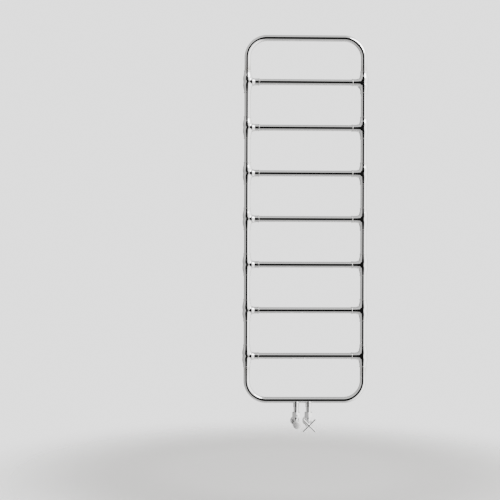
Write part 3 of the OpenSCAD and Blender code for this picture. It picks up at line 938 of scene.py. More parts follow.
@dataclass
class TubeFrame:
    """The two bows, the short upright tubes and the crossbars."""

    shop: Workshop
    tube_stop: float = 28 * MM  # from a crossbar's axis to the end of a tube in its tee
    bar_stop: float = 31 * MM  # from an upright's axis to the end of a crossbar in its tee
    gap: float = 0.05 * MM
    boss_r: float = 7.85 * MM
    boss_bore: float = 4.9 * MM
    port_r: float = 7.55 * MM  # the holes into the two tail sockets
    mouth_at: float = 44 * MM  # from a crossbar's axis to where the polish deposit and painted shade round the tube start to fade
    mouth_reach: float = 3 * MM

    def build(self) -> None:
        """Make every tube of the frame."""
        self.bow("top_bow", 1)
        self.bow("bottom_bow", -1)
        for node, side in (("upright_left_tubes", -1), ("upright_right_tubes", 1)):
            self.upright(node, side)
        for index, z in enumerate(self.shop.sizes.bar_z):
            self.crossbar(f"crossbar_{index + 1}", z)

    def pipe(self, path: Sequence[Vector], bend: float = 0.0) -> bpy.types.Mesh:
        """One tube along a path in the rail's plane."""
        s, shop = self.shop.sizes, self.shop
        return shop.tubes.tube(path, s.tube_r, s.wall, shop.palette[Slot.TUBE], bend)

    def bow(self, node: str, side: int) -> None:
        """The bent tube at the top (side 1) or bottom (side -1)."""
        s = self.shop.sizes
        foot = side * (abs(s.bar_z[0]) + self.tube_stop + self.gap)
        corners = [(-s.up_x, foot), (-s.up_x, side * s.top_z), (s.up_x, side * s.top_z), (s.up_x, foot)]
        mesh = self.pipe([Vector((x, s.plane_y, z)) for x, z in corners], s.corner_r)
        if side > 0:
            mesh = self.with_vent_boss(mesh)
        else:
            mesh = self.with_tail_ports(mesh)
        # painted shade and polish deposit on the tube at the tees' mouths
        mouths = s.bar_z[0] + self.mouth_at
        mark_deposit_and_shade(mesh, lambda p: 0.9 - (np.abs(p[:, 2]) - mouths) / self.mouth_reach)
        self.shop.hand_in(node, mesh, Slot.TUBE)

    def with_vent_boss(self, mesh: bpy.types.Mesh) -> bpy.types.Mesh:
        """Add the short boss that takes the air vent, at the back of the top tube."""
        s = self.shop.sizes
        at = along(WALLWARD, Vector((s.vent_x, s.plane_y, s.top_z)))
        foot, face = s.tube_r - 1 * MM, s.tube_r + s.vent_boss
        outline = eased([(0, foot), (self.boss_r, foot), (self.boss_r, face), (0, face)])
        boss = placed(lathe(outline), at)
        hole = placed(rod(self.boss_bore, 0, face + PAST), at)
        return combine(combine(mesh, "UNION", boss), "DIFFERENCE", hole)

    def with_tail_ports(self, mesh: bpy.types.Mesh) -> bpy.types.Mesh:
        """Cut the two holes under the bottom tube."""
        s = self.shop.sizes
        drill = rod(self.port_r, -s.tube_r - PAST, 0)
        at = [Matrix.Translation((x, s.plane_y, -s.top_z)) for x in s.valve_x.values()]
        return combine(mesh, "DIFFERENCE", *(placed(drill, m) for m in at))

    def upright(self, node: str, side: int) -> None:
        """The short tubes of one upright, as one piece."""
        s = self.shop.sizes
        bm = bmesh.new()
        for high, low in zip(s.bar_z, s.bar_z[1:]):
            ends = (low + self.tube_stop + self.gap, high - self.tube_stop - self.gap)
            part = self.pipe([Vector((side * s.up_x, s.plane_y, z)) for z in ends])
            bm.from_mesh(part)
        mesh = bpy.data.meshes.new(node)
        bm.to_mesh(mesh)
        bm.free()
        self.shop.hand_in(node, mesh, Slot.TUBE)

    def crossbar(self, node: str, z: float) -> None:
        """One crossbar."""
        s = self.shop.sizes
        reach = s.up_x - self.bar_stop - self.gap
        mesh = self.pipe([Vector((x, s.plane_y, z)) for x in (-reach, reach)])
        self.shop.hand_in(node, mesh, Slot.TUBE)


@dataclass
class TeeFittings:
    """The fourteen turned tees, each with two arms, an inward branch and a bead at each mouth."""

    shop: Workshop
    arm: float = 46 * MM
    branch: float = 49 * MM
    socket_depth: float = 18 * MM
    waist: float = 4.3 * MM
    belly: float = 5.75 * MM
    neck: float = 1.5 * MM
    root: float = 4.25 * MM
    bead: float = 2.3 * MM
    bead_len: float = 4.5 * MM
    belly_at: float = 13 * MM
    root_end: float = 17 * MM
    neck_len: float = 11.5 * MM
    fillet: float = 4.5 * MM
    boss_r: float = 9 * MM
    boss_reach: float = 24 * MM
    spigot_r: float = 5.05 * MM  # hole in the boss for the post's spigot
    spigot_depth: float = 10.8 * MM
    ease: float = 0.9 * MM
    row_step: float = 1.2 * MM  # spacing of the mesh rows
    crotch: tuple[float, float] = (17.9 * MM, 16.9 * MM)  # from the arms' and the branch's axes to the crotch

    def mouth(self, length: float) -> Profile:
        """Bead at the end of an arm or branch, rounded as a turner leaves it."""
        r = self.shop.sizes.tube_r
        foot = length - self.bead_len
        return eased([
            (r + self.neck, foot - 0.6 * MM), (r + self.neck, foot, 0.3 * MM),
            (r + self.bead, foot + 0.5 * MM), (r + self.bead, length - 0.2 * MM),
            (r + self.bead - 0.9 * MM, length),
        ], self.ease)

    def arm_profile(self) -> Profile:
        """The upright body from its lower mouth to its upper one."""
        r = self.shop.sizes.tube_r
        taper_end = self.arm - self.bead_len - 1 * MM  # clear of the bead's own foot
        upper = (
            swell((r + self.waist, 0), (r + self.belly, self.belly_at))
            + swell((r + self.belly, self.belly_at), (r + self.neck, taper_end), 24)[1:]
            + self.mouth(self.arm)
        )
        return [(a, -h) for a, h in reversed(upper[1:])] + upper

    def branch_profile(self) -> Profile:
        """The inward branch, from a blunt foot inside the tee to its mouth."""
        r = self.shop.sizes.tube_r
        taper_end = self.branch - self.bead_len - self.neck_len
        return (
            swell((r - 0.5 * MM, -10 * MM), (r + self.root, 0))
            + swell((r + self.root, self.root_end), (r + self.neck, taper_end), 24)
            + self.mouth(self.branch)
        )

    def socket(self, length: float) -> bpy.types.Mesh:
        """What is cut out of an arm: its waterway and the tube's socket."""
        s = self.shop.sizes
        stop, past = length - self.socket_depth, length + PAST
        bore, tube = s.tube_r - s.wall, s.tube_r + 0.05 * MM
        return lathe([(0, 0), (bore, 0), (bore, stop), (tube, stop), (tube, past), (0, past)])

    def blank(self, braced: bool) -> tuple[bpy.types.Mesh, Callable]:
        """One tee round its own middle, with its branch along +X.

        Args:
            braced: Whether it has a boss at the back for a wall post.

        Returns:
            The mesh, and its true normals near the fillets.
        """
        bodies = [
            Turning(Matrix.Identity(4), tuple(self.arm_profile())),
            Turning(along(Vector((1, 0, 0)), HERE), tuple(self.branch_profile())),
        ]
        if braced:
            outline = eased([(self.boss_r, 0), (self.boss_r, self.boss_reach), (0, self.boss_reach)])
            bodies.append(Turning(along(WALLWARD, HERE), tuple(outline[:-1])))
        mesh, normals = blended(bodies, self.fillet, self.row_step)
        cuts = [placed(self.socket(self.arm), along(d, HERE)) for d in (UP, -UP)]
        cuts.append(placed(self.socket(self.branch), along(Vector((1, 0, 0)), HERE)))
        if braced:
            drill = rod(self.spigot_r, self.boss_reach - self.spigot_depth, self.boss_reach + PAST)
            cuts.append(placed(drill, along(WALLWARD, HERE)))
        return combine(mesh, "DIFFERENCE", *cuts), normals

    def corners(self, points: Points) -> Points:
        """How near a point of a tee is to the crease beside a bead or at a mouth."""
        body, branch = np.hypot(points[:, 0], points[:, 1]), np.hypot(points[:, 1], points[:, 2])
        on_branch = points[:, 0] > 20 * MM
        height = np.where(on_branch, points[:, 0], np.abs(points[:, 2]))
        length = np.where(on_branch, self.branch, self.arm)
        crease = 1 - np.abs(height - (length - self.bead_len - 0.3 * MM)) / (1.0 * MM)
        mouth = 1 - np.abs(height - length - 0.1 * MM) / (0.6 * MM)
        off = np.maximum(np.abs(body - self.crotch[0]), np.abs(branch - self.crotch[1]))
        root = np.where(points[:, 0] > 0, 0.7 * (1 - off / (2.2 * MM)), 0)
        return np.maximum(np.maximum(crease, mouth), root)

    def build(self) -> None:
        """Make every tee, in place."""
        s = self.shop.sizes
        count = len(s.bar_z)
        blanks = {braced: self.blank(braced) for braced in (False, True)}
        # painted shade and polish deposit in the tees' bead creases, mouths and crotches
        for mesh, normals in blanks.values():
            mark_deposit_and_shade(mesh, self.corners)
        for side, turn in (("left", Matrix.Identity(4)), ("right", Matrix.Rotation(math.pi, 4, "Y"))):
            x = -s.up_x if side == "left" else s.up_x
            for index, z in enumerate(s.bar_z):
                blank, normals = blanks[index in (0, count - 1)]
                at = Matrix.Translation((x, s.plane_y, z)) @ turn
                self.shop.hand_in(
                    f"tee_{side}_{index + 1}", placed(blank, at), Slot.FITTING, moved(normals, at)
                )


def moved(normals: Callable, at: Matrix) -> Callable:
    """The true normals of a shape that was moved to another frame."""
    forth, back = np.array(at), np.array(at.inverted())

    def there(points: Points) -> tuple[Points, Points]:
        """Normals, and which points lie near a fillet."""
        out, near = normals(points @ back[:3, :3].T + back[:3, 3])
        return out @ forth[:3, :3].T, near

    return there


@dataclass
class WallBrackets:
    """Round plates on the wall, posts from them to the tees, and their grub screws."""

    shop: Workshop
    plate_r: float = 15 * MM
    plate_t: float = 6 * MM
    hub_l: float = 18 * MM
    hub_r: float = 12.1 * MM
    post_r: float = 8 * MM
    slide: float = 0.1 * MM
    screw_r: float = 2.75 * MM
    head_r: float = 6 * MM
    grub_r: float = 2.5 * MM
    spigot_r: float = 5 * MM
    spigot: float = 10.3 * MM
    tee_boss: float = 24 * MM  # from the tubes' plane to the face of a tee's boss
    hollow_r: float = 6.3 * MM
    hollow: float = 9 * MM  # depth of the post's hollow, over the wall screw's head

    def places(self) -> list[Vector]:
        """The four fixings on the wall."""
        s = self.shop.sizes
        return [Vector((x, 0, z)) for x in (-s.up_x, s.up_x) for z in (s.bar_z[0], s.bar_z[-1])]

    def build(self) -> None:
        """Make the plates, posts and grub screws."""
        for node, mesh, slot in (
            ("wall_plates", self.plate(), Slot.FITTING),
            ("wall_posts", self.post(), Slot.FITTING),
            ("wall_grub_screws", self.grub(), Slot.STEEL),
        ):
            copies = self.shop.places.repeat(mesh, self.places(), self.shop.palette[slot])
            self.shop.hand_in(node, copies, slot)

    def plate(self) -> bpy.types.Mesh:
        """A plate with its hub, screw hole and grub hole."""
        t, top, socket = self.plate_t, self.plate_t + self.hub_l, self.post_r + self.slide
        sink = self.head_r - self.screw_r
        outline = eased([
            (self.screw_r, 0, 0), (self.plate_r - 0.4 * MM, 0, 0.3 * MM),
            (self.plate_r, 1 * MM, 0.6 * MM), (self.plate_r, t - 1.6 * MM, 0.8 * MM),
            (self.plate_r - 1.3 * MM, t, 0.5 * MM), (self.hub_r + 0.1 * MM, t + 0.1 * MM, 0.5 * MM),
            (self.hub_r, top, 0.9 * MM), (socket, top, 0.4 * MM), (socket, t, 0),
            (self.head_r, t, 0), (self.screw_r, t - sink, 0), (self.screw_r, 0, 0),
        ])
        body = placed(lathe(outline[:-1], FINE, ring=True), along(FORWARD, HERE))
        drill = rod(self.grub_r + 0.05 * MM, 5 * MM, 20 * MM, SMALL)
        grub_at = Vector((0, -self.plate_t - self.hub_l / 2, 0))
        return combine(body, "DIFFERENCE", placed(drill, along(-UP, grub_at)))

    def post(self) -> bpy.types.Mesh:
        """A post, hollow at the wall and with a spigot at the tee."""
        start, end = self.plate_t, -self.shop.sizes.plane_y - self.tee_boss
        bottom, tip = start + self.hollow, end + self.spigot
        outline = eased([
            (0, bottom, 0), (self.hollow_r, bottom, 0), (self.hollow_r, start, 0.2 * MM),
            (self.post_r, start, 0.6 * MM), (self.post_r, end, 0.5 * MM), (self.spigot_r, end, 0),
            (self.spigot_r, tip, 0.5 * MM), (0, tip, 0),
        ])
        return placed(lathe(outline), along(FORWARD, HERE))

    def grub(self) -> bpy.types.Mesh:
        """A grub screw with its hexagonal socket, under the hub."""
        start, length = self.post_r + 0.05 * MM, self.hub_r - self.post_r - 0.05 * MM
        outline = eased([(0, 0), (self.grub_r - 0.6 * MM, 0), (self.grub_r, 0.6 * MM),
                         (self.grub_r, length), (0, length)], 0.25 * MM)
        key = placed(prism(2.5 * MM, 3 * MM, 0.05 * MM), Matrix.Translation((0, 0, length - 2 * MM)))
        screw = combine(lathe(outline, SMALL), "DIFFERENCE", key)
        grub_at = Vector((0, -self.plate_t - self.hub_l / 2, -start))
        return placed(screw, along(-UP, grub_at))


@dataclass
class HexNut:
    """A nut blank on Z with its corners turned off, and what is cut out of it."""

    flats: float
    height: float
    bores: tuple[tuple[float, float, float], ...]  # radius, from, to
    ends: tuple[bool, bool] = (True, True)  # which ends are turned

    def mesh(self) -> bpy.types.Mesh:
        """Build the nut."""
        half, top = self.flats / 2, self.height
        reach = half / math.cos(math.pi / 6)
        face, cut = half * 0.985, (reach - half) * 0.58  # a 30 degree chamfer that just misses the flats
        past, clear = reach + 0.1 * MM, reach + PAST
        foot = [(0, 0), (face, 0), (past, cut)] if self.ends[0] else [(0, 0), (clear, 0)]
        head = [(past, top - cut), (face, top), (0, top)] if self.ends[1] else [(clear, top), (0, top)]
        blank = combine(prism(self.flats, top), "INTERSECT", lathe(foot + head, FINE))
        cuts = [rod(*bore) for bore in self.bores]
        return combine(blank, "DIFFERENCE", *cuts) if cuts else blank


@dataclass
class Valve:
    """One angle valve with its tail, union, bonnet and the covers of its pipe."""

    shop: Workshop
    side: Side
    prefix: str
    drop: float = 96 * MM  # from the bottom tube's axis to the valve's
    socket_end: float = 29.5 * MM  # from the bottom tube's axis
    flange: tuple[float, float] = (37.5 * MM, 41.5 * MM)  # the tail's flange, above the valve's axis
    flange_r: float = 11.9 * MM
    tail_r: float = 10.25 * MM
    union_flats: float = 30 * MM
    union_span: tuple[float, float] = (26 * MM, 46.5 * MM)  # above the valve's axis
    barrel_r: float = 14.5 * MM
    barrel: tuple[float, float] = (-20 * MM, 16 * MM)
    neck_r: float = 11.2 * MM
    thread_r: float = 12.2 * MM
    neck_face: float = 36 * MM
    bonnet_flats: float = 24 * MM
    bonnet_neck_r: float = 9 * MM
    bonnet_top: float = 34 * MM
    nut_flats: float = 26 * MM
    nut_span: tuple[float, float] = (-42 * MM, -21 * MM)
    bore: float = 6.5 * MM  # of the tail and the body's neck
    pipe_r: float = 7.6 * MM
    sleeve_r: float = 9.5 * MM
    rose_r: float = 19 * MM
    rose_t: float = 8 * MM

    def middle(self) -> Vector:
        """Where the tail's axis meets the valve's own."""
        s = self.shop.sizes
        return Vector((s.valve_x[self.side], s.plane_y, s.valve_z))

    def ahead(self) -> Matrix:
        """The valve's own frame: +Z runs forward out of the wall."""
        return along(FORWARD, self.middle())

    def upright(self) -> Matrix:
        """The union's frame: +Z runs up the tail."""
        return Matrix.Translation(self.middle())

    def build(self) -> None:
        """Make every piece of the valve that shows."""
        hand_in = self.shop.hand_in
        hand_in(self.prefix + "_tail", self.tail())
        hand_in(self.prefix + "_union_nut", self.union_nut())
        mesh, normals = self.body()
        hand_in(self.prefix + "_body", mesh, Slot.FITTING, normals)
        hand_in(self.prefix + "_bonnet", self.bonnet())
        hand_in(self.prefix + "_compression_nut", self.compression_nut())
        where = "left" if self.side is Side.LOCKSHIELD else "right"
        hand_in("pipe_sleeve_" + where, self.sleeve())
        hand_in("rose_" + where, self.rose(), finish=self.shop.palette.satin)

    def tail(self) -> bpy.types.Mesh:
        """Tail from its flange in the union up into the socket."""
        (foot, top), stem, bore = self.flange, self.drop - self.socket_end, self.bore
        shoulder, thread, end = stem - 1.2 * MM, 9.75 * MM, stem + 12 * MM
        outline = eased([
            (bore, foot, 0), (self.flange_r, foot, 0.3 * MM), (self.flange_r, top, 0.3 * MM),
            (self.tail_r, top, 0.2 * MM), (self.tail_r, shoulder, 0.45 * MM),
            (thread, shoulder, 0.2 * MM), (thread, end, 0.6 * MM), (bore, end, 0), (bore, foot, 0),
        ])
        return placed(lathe(outline[:-1], FINE, ring=True), self.upright())

    def union_nut(self) -> bpy.types.Mesh:
        """Nut that draws the tail down on the valve's neck."""
        low, high = self.union_span
        height, shoulder = high - low, self.flange[1] + 0.05 * MM - low
        bores = ((self.thread_r + 0.05 * MM, -PAST, shoulder), (self.tail_r + 0.2 * MM, 0, height + PAST))
        nut = HexNut(self.union_flats, height, bores)
        return placed(nut.mesh(), Matrix.Translation(self.middle() + UP * low))

    def body(self) -> tuple[bpy.types.Mesh, Callable]:
        """Cast body: a barrel from pipe to bonnet, and the neck up to the union."""
        back, front = self.barrel
        step = self.union_span[0] - 1 * MM
        barrel = eased([
            (0, back), (self.barrel_r, back, 1.6 * MM), (self.barrel_r, front, 1.2 * MM), (0, front),
        ])
        neck = eased([
            (0, 0), (self.neck_r, 0), (self.neck_r, step, 0.2 * MM), (self.thread_r, step, 0.2 * MM),
            (self.thread_r, self.neck_face), (0, self.neck_face),
        ])
        parts = [
            Turning(self.ahead(), tuple(p for p in barrel if p[0] > 0)),
            Turning(self.upright(), tuple(p for p in neck if p[0] > 0)),
        ]
        mesh, normals = blended(parts, 5 * MM, 1.3 * MM)
        thread = rod(11 * MM, -32 * MM, back + PAST)
        mesh = combine(mesh, "UNION", placed(thread, self.ahead()))
        drills = (
            rod(self.pipe_r, -33 * MM, -13 * MM),  # the pipe's end
            rod(8.55 * MM, -14 * MM, -3 * MM),  # the seat's thread
            rod(10 * MM, -4 * MM, front + PAST),  # the chamber and the bonnet's thread
        )
        passage = placed(rod(self.bore, 8 * MM, self.neck_face + PAST), self.upright())
        mesh = combine(mesh, "DIFFERENCE", *(placed(d, self.ahead()) for d in drills), passage)
        return mesh, normals

    def bonnet(self) -> bpy.types.Mesh:
        """Headwork: a thread in the body, a hexagon and the round neck round the spindle."""
        front, foot, thread = self.barrel[1], 9 * MM, 9.95 * MM
        step, top = front + 0.5 * MM, self.bonnet_top
        hexagon = HexNut(self.bonnet_flats, 7 * MM, (), (False, True)).mesh()
        hexagon = placed(hexagon, Matrix.Translation((0, 0, front)))
        neck = lathe(eased([
            (0, foot, 0), (thread, foot, 0), (thread, step, 0), (self.bonnet_neck_r, step, 0),
            (self.bonnet_neck_r, top, 0.8 * MM), (0, top, 0),
        ]))
        guide = prism(12.2 * MM, 15.5 * MM, 0.05 * MM)  # where the jumper's hexagon slides
        guide = placed(guide, Matrix.Translation((0, 0, 8.5 * MM)))
        drill = rod(4.05 * MM, 20 * MM, 40 * MM)  # the spindle's bore
        mesh = combine(combine(hexagon, "UNION", neck), "DIFFERENCE", guide, drill)
        return placed(mesh, self.ahead())

    def compression_nut(self) -> bpy.types.Mesh:
        """Nut that squeezes the olive on the building's pipe."""
        back, front = self.nut_span
        height, shoulder = front - back, 36.1 * MM
        bores = (
            (self.pipe_r + 0.2 * MM, -PAST, height), (11.05 * MM, -back - shoulder, height + PAST),
        )
        nut = HexNut(self.nut_flats, height, bores)
        return placed(nut.mesh(), self.ahead() @ Matrix.Translation((0, 0, back)))

    def sleeve(self) -> bpy.types.Mesh:
        """Chromed tube over the building's pipe."""
        start, end = self.shop.sizes.plane_y + 1 * MM, self.nut_span[0] - 0.05 * MM
        inner = self.pipe_r + 0.5 * MM
        outline = eased([
            (inner, start), (self.sleeve_r, start), (self.sleeve_r, end), (inner, end), (inner, start),
        ], 0.4 * MM)
        return placed(lathe(outline[:-1], ring=True), self.ahead())

    def rose(self) -> bpy.types.Mesh:
        """Dished cover over the hole in the wall."""
        hole, collar = self.sleeve_r + 0.1 * MM, self.sleeve_r + 2.5 * MM
        r, t, rim = self.rose_r, self.rose_t, 1.5 * MM
        under = t - 4 * MM
        outside = swell((r - 0.6 * MM, rim + 0.7 * MM), (collar + 0.8 * MM, t - 1.8 * MM), 24)
        edge = [(r - 2 * MM, 0), (r - 0.3 * MM, 0), (r, 0.4 * MM), (r, rim), outside[0]]
        lip = [outside[-1], (collar, t - 1 * MM), (collar, t), (hole, t), (hole, under), (collar, under)]
        outline = eased(edge, 0.4 * MM) + outside[1:] + eased(lip, 0.35 * MM)[1:]
        at = self.ahead() @ Matrix.Translation((0, 0, self.shop.sizes.plane_y))
        return placed(lathe(outline, FINE, ring=True), at)


@dataclass
class TailSockets:
    """The two threaded sockets brazed under the bottom tube."""

    shop: Workshop
    radius: float = 12 * MM
    end: float = 29.5 * MM
    bore: float = 9.8 * MM
    bore_end: float = 16.5 * MM
    waterway: float = 6 * MM

    def build(self) -> None:
        """Make both sockets as one piece."""
        s = self.shop.sizes
        outline = eased([
            (0, -self.end, 0), (self.bore, -self.end, 0.3 * MM), (self.radius, -self.end, 0.7 * MM),
            (self.radius, -s.tube_r - 1 * MM, 4 * MM), (self.radius + 0.9 * MM, -s.tube_r + 3 * MM, 1 * MM),
            (self.radius - 1 * MM, 0, 0), (0, 0, 0),
        ])
        drill = lathe([
            (0, -self.end - PAST), (self.bore, -self.end - PAST), (self.bore, -self.bore_end),
            (self.waterway, -self.bore_end), (self.waterway, PAST), (0, PAST),
        ])
        tube = rod(s.tube_r + 0.05 * MM, -30 * MM, 30 * MM, FINE)
        tube = placed(tube, along(Vector((1, 0, 0)), HERE))
        socket = combine(lathe(outline, FINE), "DIFFERENCE", drill, tube)
        places = [Vector((x, s.plane_y, -s.top_z)) for x in s.valve_x.values()]
        mesh = self.shop.places.repeat(socket, places, self.shop.palette[Slot.FITTING])
        # painted shade and polish deposit where the sockets meet the bottom tube
        root = -s.top_z - s.tube_r
        mark_deposit_and_shade(mesh, lambda p: 1 - np.abs(p[:, 2] - root) / (2.2 * MM))
        self.shop.hand_in("tail_sockets", mesh)


@dataclass
class CrossHandle:
    """Bell with two crossed bars, the grip of the manual valve."""

    valve: Valve
    span: float = 70 * MM
    arm_r: float = 4.1 * MM
    bell_r: float = 13.5 * MM
    nose_r: float = 8.5 * MM
    arm_reach: float = 58 * MM
    shoulder: float = 53.75 * MM  # where the bell's sides and bore end, under the bars
    foot: float = 31.5 * MM

    def bell(self) -> Profile:
        """Outline of the bell from its skirt to its nose."""
        r, nose_r, skirt_top, tip = self.bell_r, self.nose_r, self.foot + 5 * MM, self.arm_reach + 2.9 * MM
        skirt = eased([(r - 1 * MM, self.foot), (r, self.foot, 0.9 * MM), (r, skirt_top)])
        nose = eased([
            (nose_r, self.shoulder), (nose_r, self.arm_reach + 1 * MM, 2.5 * MM),
            (nose_r - 5 * MM, tip, 2 * MM), (0.5 * MM, tip),
        ])
        return skirt + swell((r, skirt_top), (nose_r, self.shoulder), 24)[1:] + nose[1:]

    def build(self) -> None:
        """Make the handle, with the hole for its grub screw."""
        shop, at, half = self.valve.shop, self.valve.ahead(), self.span / 2
        bar = eased([
            (0.3 * MM, -half), (self.arm_r, -half, 2.2 * MM), (self.arm_r, half, 2.2 * MM), (0.3 * MM, half),
        ])
        parts = [Turning(at, tuple(self.bell()))]
        for turn in (45, 135):
            tilt = Matrix.Rotation(math.radians(turn), 4, "Z") @ Matrix.Rotation(math.pi / 2, 4, "Y")
            parts.append(Turning(at @ Matrix.Translation((0, 0, self.arm_reach)) @ tilt, tuple(bar)))
        mesh, normals = blended(parts, 1.8 * MM, 0.9 * MM)
        skirt, step, spindle = 9.6 * MM, 34.5 * MM, 4.3 * MM
        bore = lathe([
            (0, 30 * MM), (skirt, 30 * MM), (skirt, step), (spindle, step),
            (spindle, self.shoulder), (0, self.shoulder),
        ])
        across = Matrix.Translation((0, 0, self.shoulder - 4.5 * MM)) @ Matrix.Rotation(math.pi / 2, 4, "X")
        drill = placed(rod(2.05 * MM, 2 * MM, 15 * MM, SMALL), at @ across)
        mesh = combine(mesh, "DIFFERENCE", placed(bore, at), drill)
        shop.hand_in("cross_handle", mesh, Slot.FITTING, normals)


@dataclass
class LockshieldCap:
    """Plain round cap that pushes on over the lockshield's bonnet."""

    valve: Valve
    radius: float = 15.5 * MM
    foot: float = 23.4 * MM
    reach: float = 52 * MM
    dome: float = 5 * MM
    hollow_r: float = 6 * MM  # over the spindle's end
    hollow_top: float = 45.6 * MM
    step: float = 34.5 * MM

    def build(self) -> None:
        """Make the cap."""
        bore, r, top = self.valve.bonnet_neck_r + 0.1 * MM, self.radius, self.reach
        outline = eased([
            (bore, self.foot, 0.5 * MM), (r, self.foot, 0.9 * MM),
            (r, top - 2.4 * MM, self.dome), (r - self.dome, top - 1.2 * MM, 4 * MM), (0, top, 0),
            (0, self.hollow_top, 0), (self.hollow_r, self.hollow_top, 0.4 * MM),
            (self.hollow_r, self.step, 0), (bore, self.step, 0), (bore, self.foot, 0),
        ], steps=10)
        mesh = placed(lathe(outline[:-1], FINE, ring=True), self.valve.ahead())
        shop = self.valve.shop
        shop.hand_in("lockshield_cap", mesh, finish=shop.palette.satin)


@dataclass
class AirVent:
    """Manual air vent on the back of the top tube."""

    shop: Workshop
    flats: float = 13 * MM
    flange: float = 3.5 * MM
    nose: float = 7 * MM
    thread_r: float = 4.85 * MM
    thread: float = 6 * MM

    def build(self) -> None:
        """Make the vent's body."""
        s = self.shop.sizes
        at = along(WALLWARD, Vector((s.vent_x, s.plane_y + s.tube_r + s.vent_boss, s.top_z)))
        r, top, foot = (self.flats - 3 * MM) / 2, self.flange + self.nose, -self.thread
        nose = lathe(eased([
            (0, foot, 0), (self.thread_r, foot, 0.4 * MM), (self.thread_r, 0, 0), (r, 0, 0),
            (r, top, 0.8 * MM), (0, top, 0),
        ]))
        drill = rod(2.55 * MM, 2.5 * MM, top + PAST, 48)
        mesh = combine(HexNut(self.flats, self.flange, ()).mesh(), "UNION", nose)
        mesh = placed(combine(mesh, "DIFFERENCE", drill), at)
        self.shop.hand_in("air_vent_body", mesh)


class CarriedParts:
    """CAD nodes whose shape stays: what lies inside, and the small brass."""

    def __init__(self, shop: Workshop) -> None:
        """Keep the workshop."""
        self.shop = shop

    def build(self) -> None:
        """Dress every CAD node that no piece stands for."""
        for entry in frame["record"]["subparts"]:
            node = entry["node"]
            if not frame["nodes"][node].hide_render:
                self.shop.dress(node, Slot(entry["material_slot"]))


# ---------------------------------------------------------------- studio


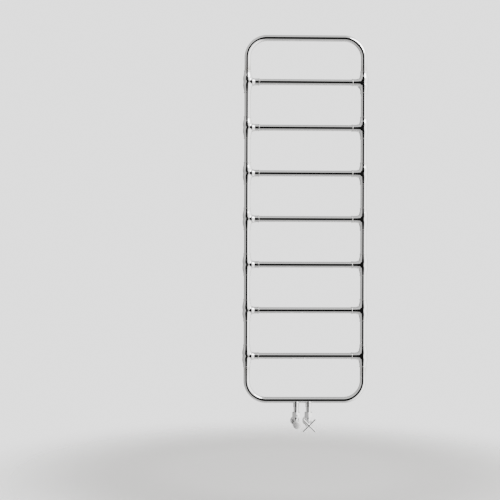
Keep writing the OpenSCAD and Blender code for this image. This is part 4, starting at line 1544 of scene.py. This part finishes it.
@dataclass
class Studio:
    """Pale floor, soft surround and the camera."""

    floor_drop: float = 0.45  # below the rail's lowest point
    floor_size: float = 2.0
    floor_back: float = 1.4  # its middle lies behind the wall's plane, so it ends just before the rail
    background: float = 2.2
    card_at: tuple[float, float] = (-0.335, -0.02)  # the dark card's middle, as slopes from the rail
    card_across: tuple[float, float] = (0.6, 0.68)  # where its soft edge starts and ends
    card_rise: tuple[float, float] = (0.74, 0.84)
    card_depth: float = 0.985
    screen_across: tuple[float, float] = (0.5, 0.7)  # the grey screen behind
    screen_rise: tuple[float, float] = (0.3, 0.42)
    screen_depth: float = 0.85
    ambient: float = 0.62
    from_right: float = 2.4
    from_above: float = 0.3
    behind_loss: float = 0.45
    lamp_at: tuple[float, float, float] = (2.0, -2.4, 2.6)
    lamp_way: tuple[float, float, float] = (0.45, -0.55, 0.7)
    lamp_size: float = 2.2
    lamp_power: float = 120.0
    camera_at: tuple[float, float, float] = (-0.3454, -4.676, -0.1267)
    yaw: float = 1.5
    roll: float = 0.186
    focal: float = 81.18
    sensor: float = 36.0

    def build(self) -> None:
        """Set up floor, surround, lamps and camera."""
        self.floor()
        self.surround()
        self.lamps()
        self.camera()

    def floor(self) -> None:
        """Round pale floor, level with the ground under the rail."""
        mesh = lathe([(0, -20 * MM), (self.floor_size, -20 * MM), (self.floor_size, 0), (0, 0)], FINE)
        mesh.materials.append(FloorFinish().make())
        obj = bpy.data.objects.new("studio_floor", mesh)
        obj.location = (0, self.floor_back, CAD_BOX[0][2] - self.floor_drop)
        bpy.context.scene.collection.objects.link(obj)

    def surround(self) -> None:
        """Soft studio round the rail: bright sides, a dark room in front and a grey screen behind."""
        world = bpy.data.worlds.new("studio")
        bpy.context.scene.world = world
        world.use_nodes = True
        g = Graph(world.node_tree)
        way = g.node("ShaderNodeTexCoord", output="Generated")
        x, y, z = (g.node("ShaderNodeSeparateXYZ", None, {0: way}, k) for k in range(3))
        front, back = (0.0 - y).maths("MAXIMUM", 0.001), y.maths("MAXIMUM", 0.001)
        across, rise = x / front, z / front
        wide = 1.0 - abs(across + -self.card_at[0]).smooth(*self.card_across)
        tall = 1.0 - abs(rise + -self.card_at[1]).smooth(*self.card_rise)
        screen_wide = 1.0 - abs(x / back).smooth(*self.screen_across)
        screen = screen_wide * (1.0 - abs(z / back).smooth(*self.screen_rise))
        dark = wide * tall + self.screen_depth * screen
        right = x.smooth(0.1, 0.7)
        above = z.smooth(-0.3, 0.9)
        behind = y.smooth(0.0, 0.9)
        level = self.ambient + self.from_right * right + self.from_above * above
        level = level * (1.0 - self.behind_loss * behind)
        glow = level * (1.0 - self.card_depth * dark)
        seen = g.node("ShaderNodeLightPath", output="Is Camera Ray")
        light = g.node("ShaderNodeBackground", None, {"Color": (1.0, 0.99, 0.975, 1.0), "Strength": glow})
        plain = g.node(
            "ShaderNodeBackground", None,
            {"Color": (self.background, self.background, self.background, 1.0), "Strength": 1.0},
        )
        both = g.node("ShaderNodeMixShader", None, {0: seen, 1: light, 2: plain})
        g.node("ShaderNodeOutputWorld", None, {0: both})

    def lamps(self) -> None:
        """One large soft lamp high on the right, for a gentle shadow on the floor."""
        lamp = bpy.data.lights.new("softbox", "AREA")
        lamp.shape, lamp.size, lamp.energy = "DISK", self.lamp_size, self.lamp_power
        obj = bpy.data.objects.new("softbox", lamp)
        obj.matrix_world = along(Vector(self.lamp_way), Vector(self.lamp_at))
        bpy.context.scene.collection.objects.link(obj)

    def camera(self) -> None:
        """Level camera in front of the rail, a little to its left."""
        data = bpy.data.cameras.new("camera")
        data.lens, data.sensor_width = self.focal, self.sensor
        obj = bpy.data.objects.new("camera", data)
        turn = (
            Matrix.Rotation(math.radians(-self.yaw), 4, "Z")
            @ Matrix.Rotation(math.radians(90), 4, "X")
            @ Matrix.Rotation(math.radians(self.roll), 4, "Z")
        )
        obj.matrix_world = Matrix.Translation(self.camera_at) @ turn
        bpy.context.scene.collection.objects.link(obj)
        bpy.context.scene.camera = obj


def main() -> None:
    """Build the whole visual model in order."""
    logging.basicConfig(level=logging.INFO, format="%(name)s: %(message)s")
    Studio().build()
    shop = Workshop(RailSizes.from_frame())
    TubeFrame(shop).build()
    TeeFittings(shop).build()
    WallBrackets(shop).build()
    TailSockets(shop).build()
    valves = {side: Valve(shop, side, side.name.lower()) for side in Side}
    for valve in valves.values():
        valve.build()
    CrossHandle(valves[Side.MANUAL]).build()
    LockshieldCap(valves[Side.LOCKSHIELD]).build()
    AirVent(shop).build()
    CarriedParts(shop).build()


if __name__ == "__main__":
    main()
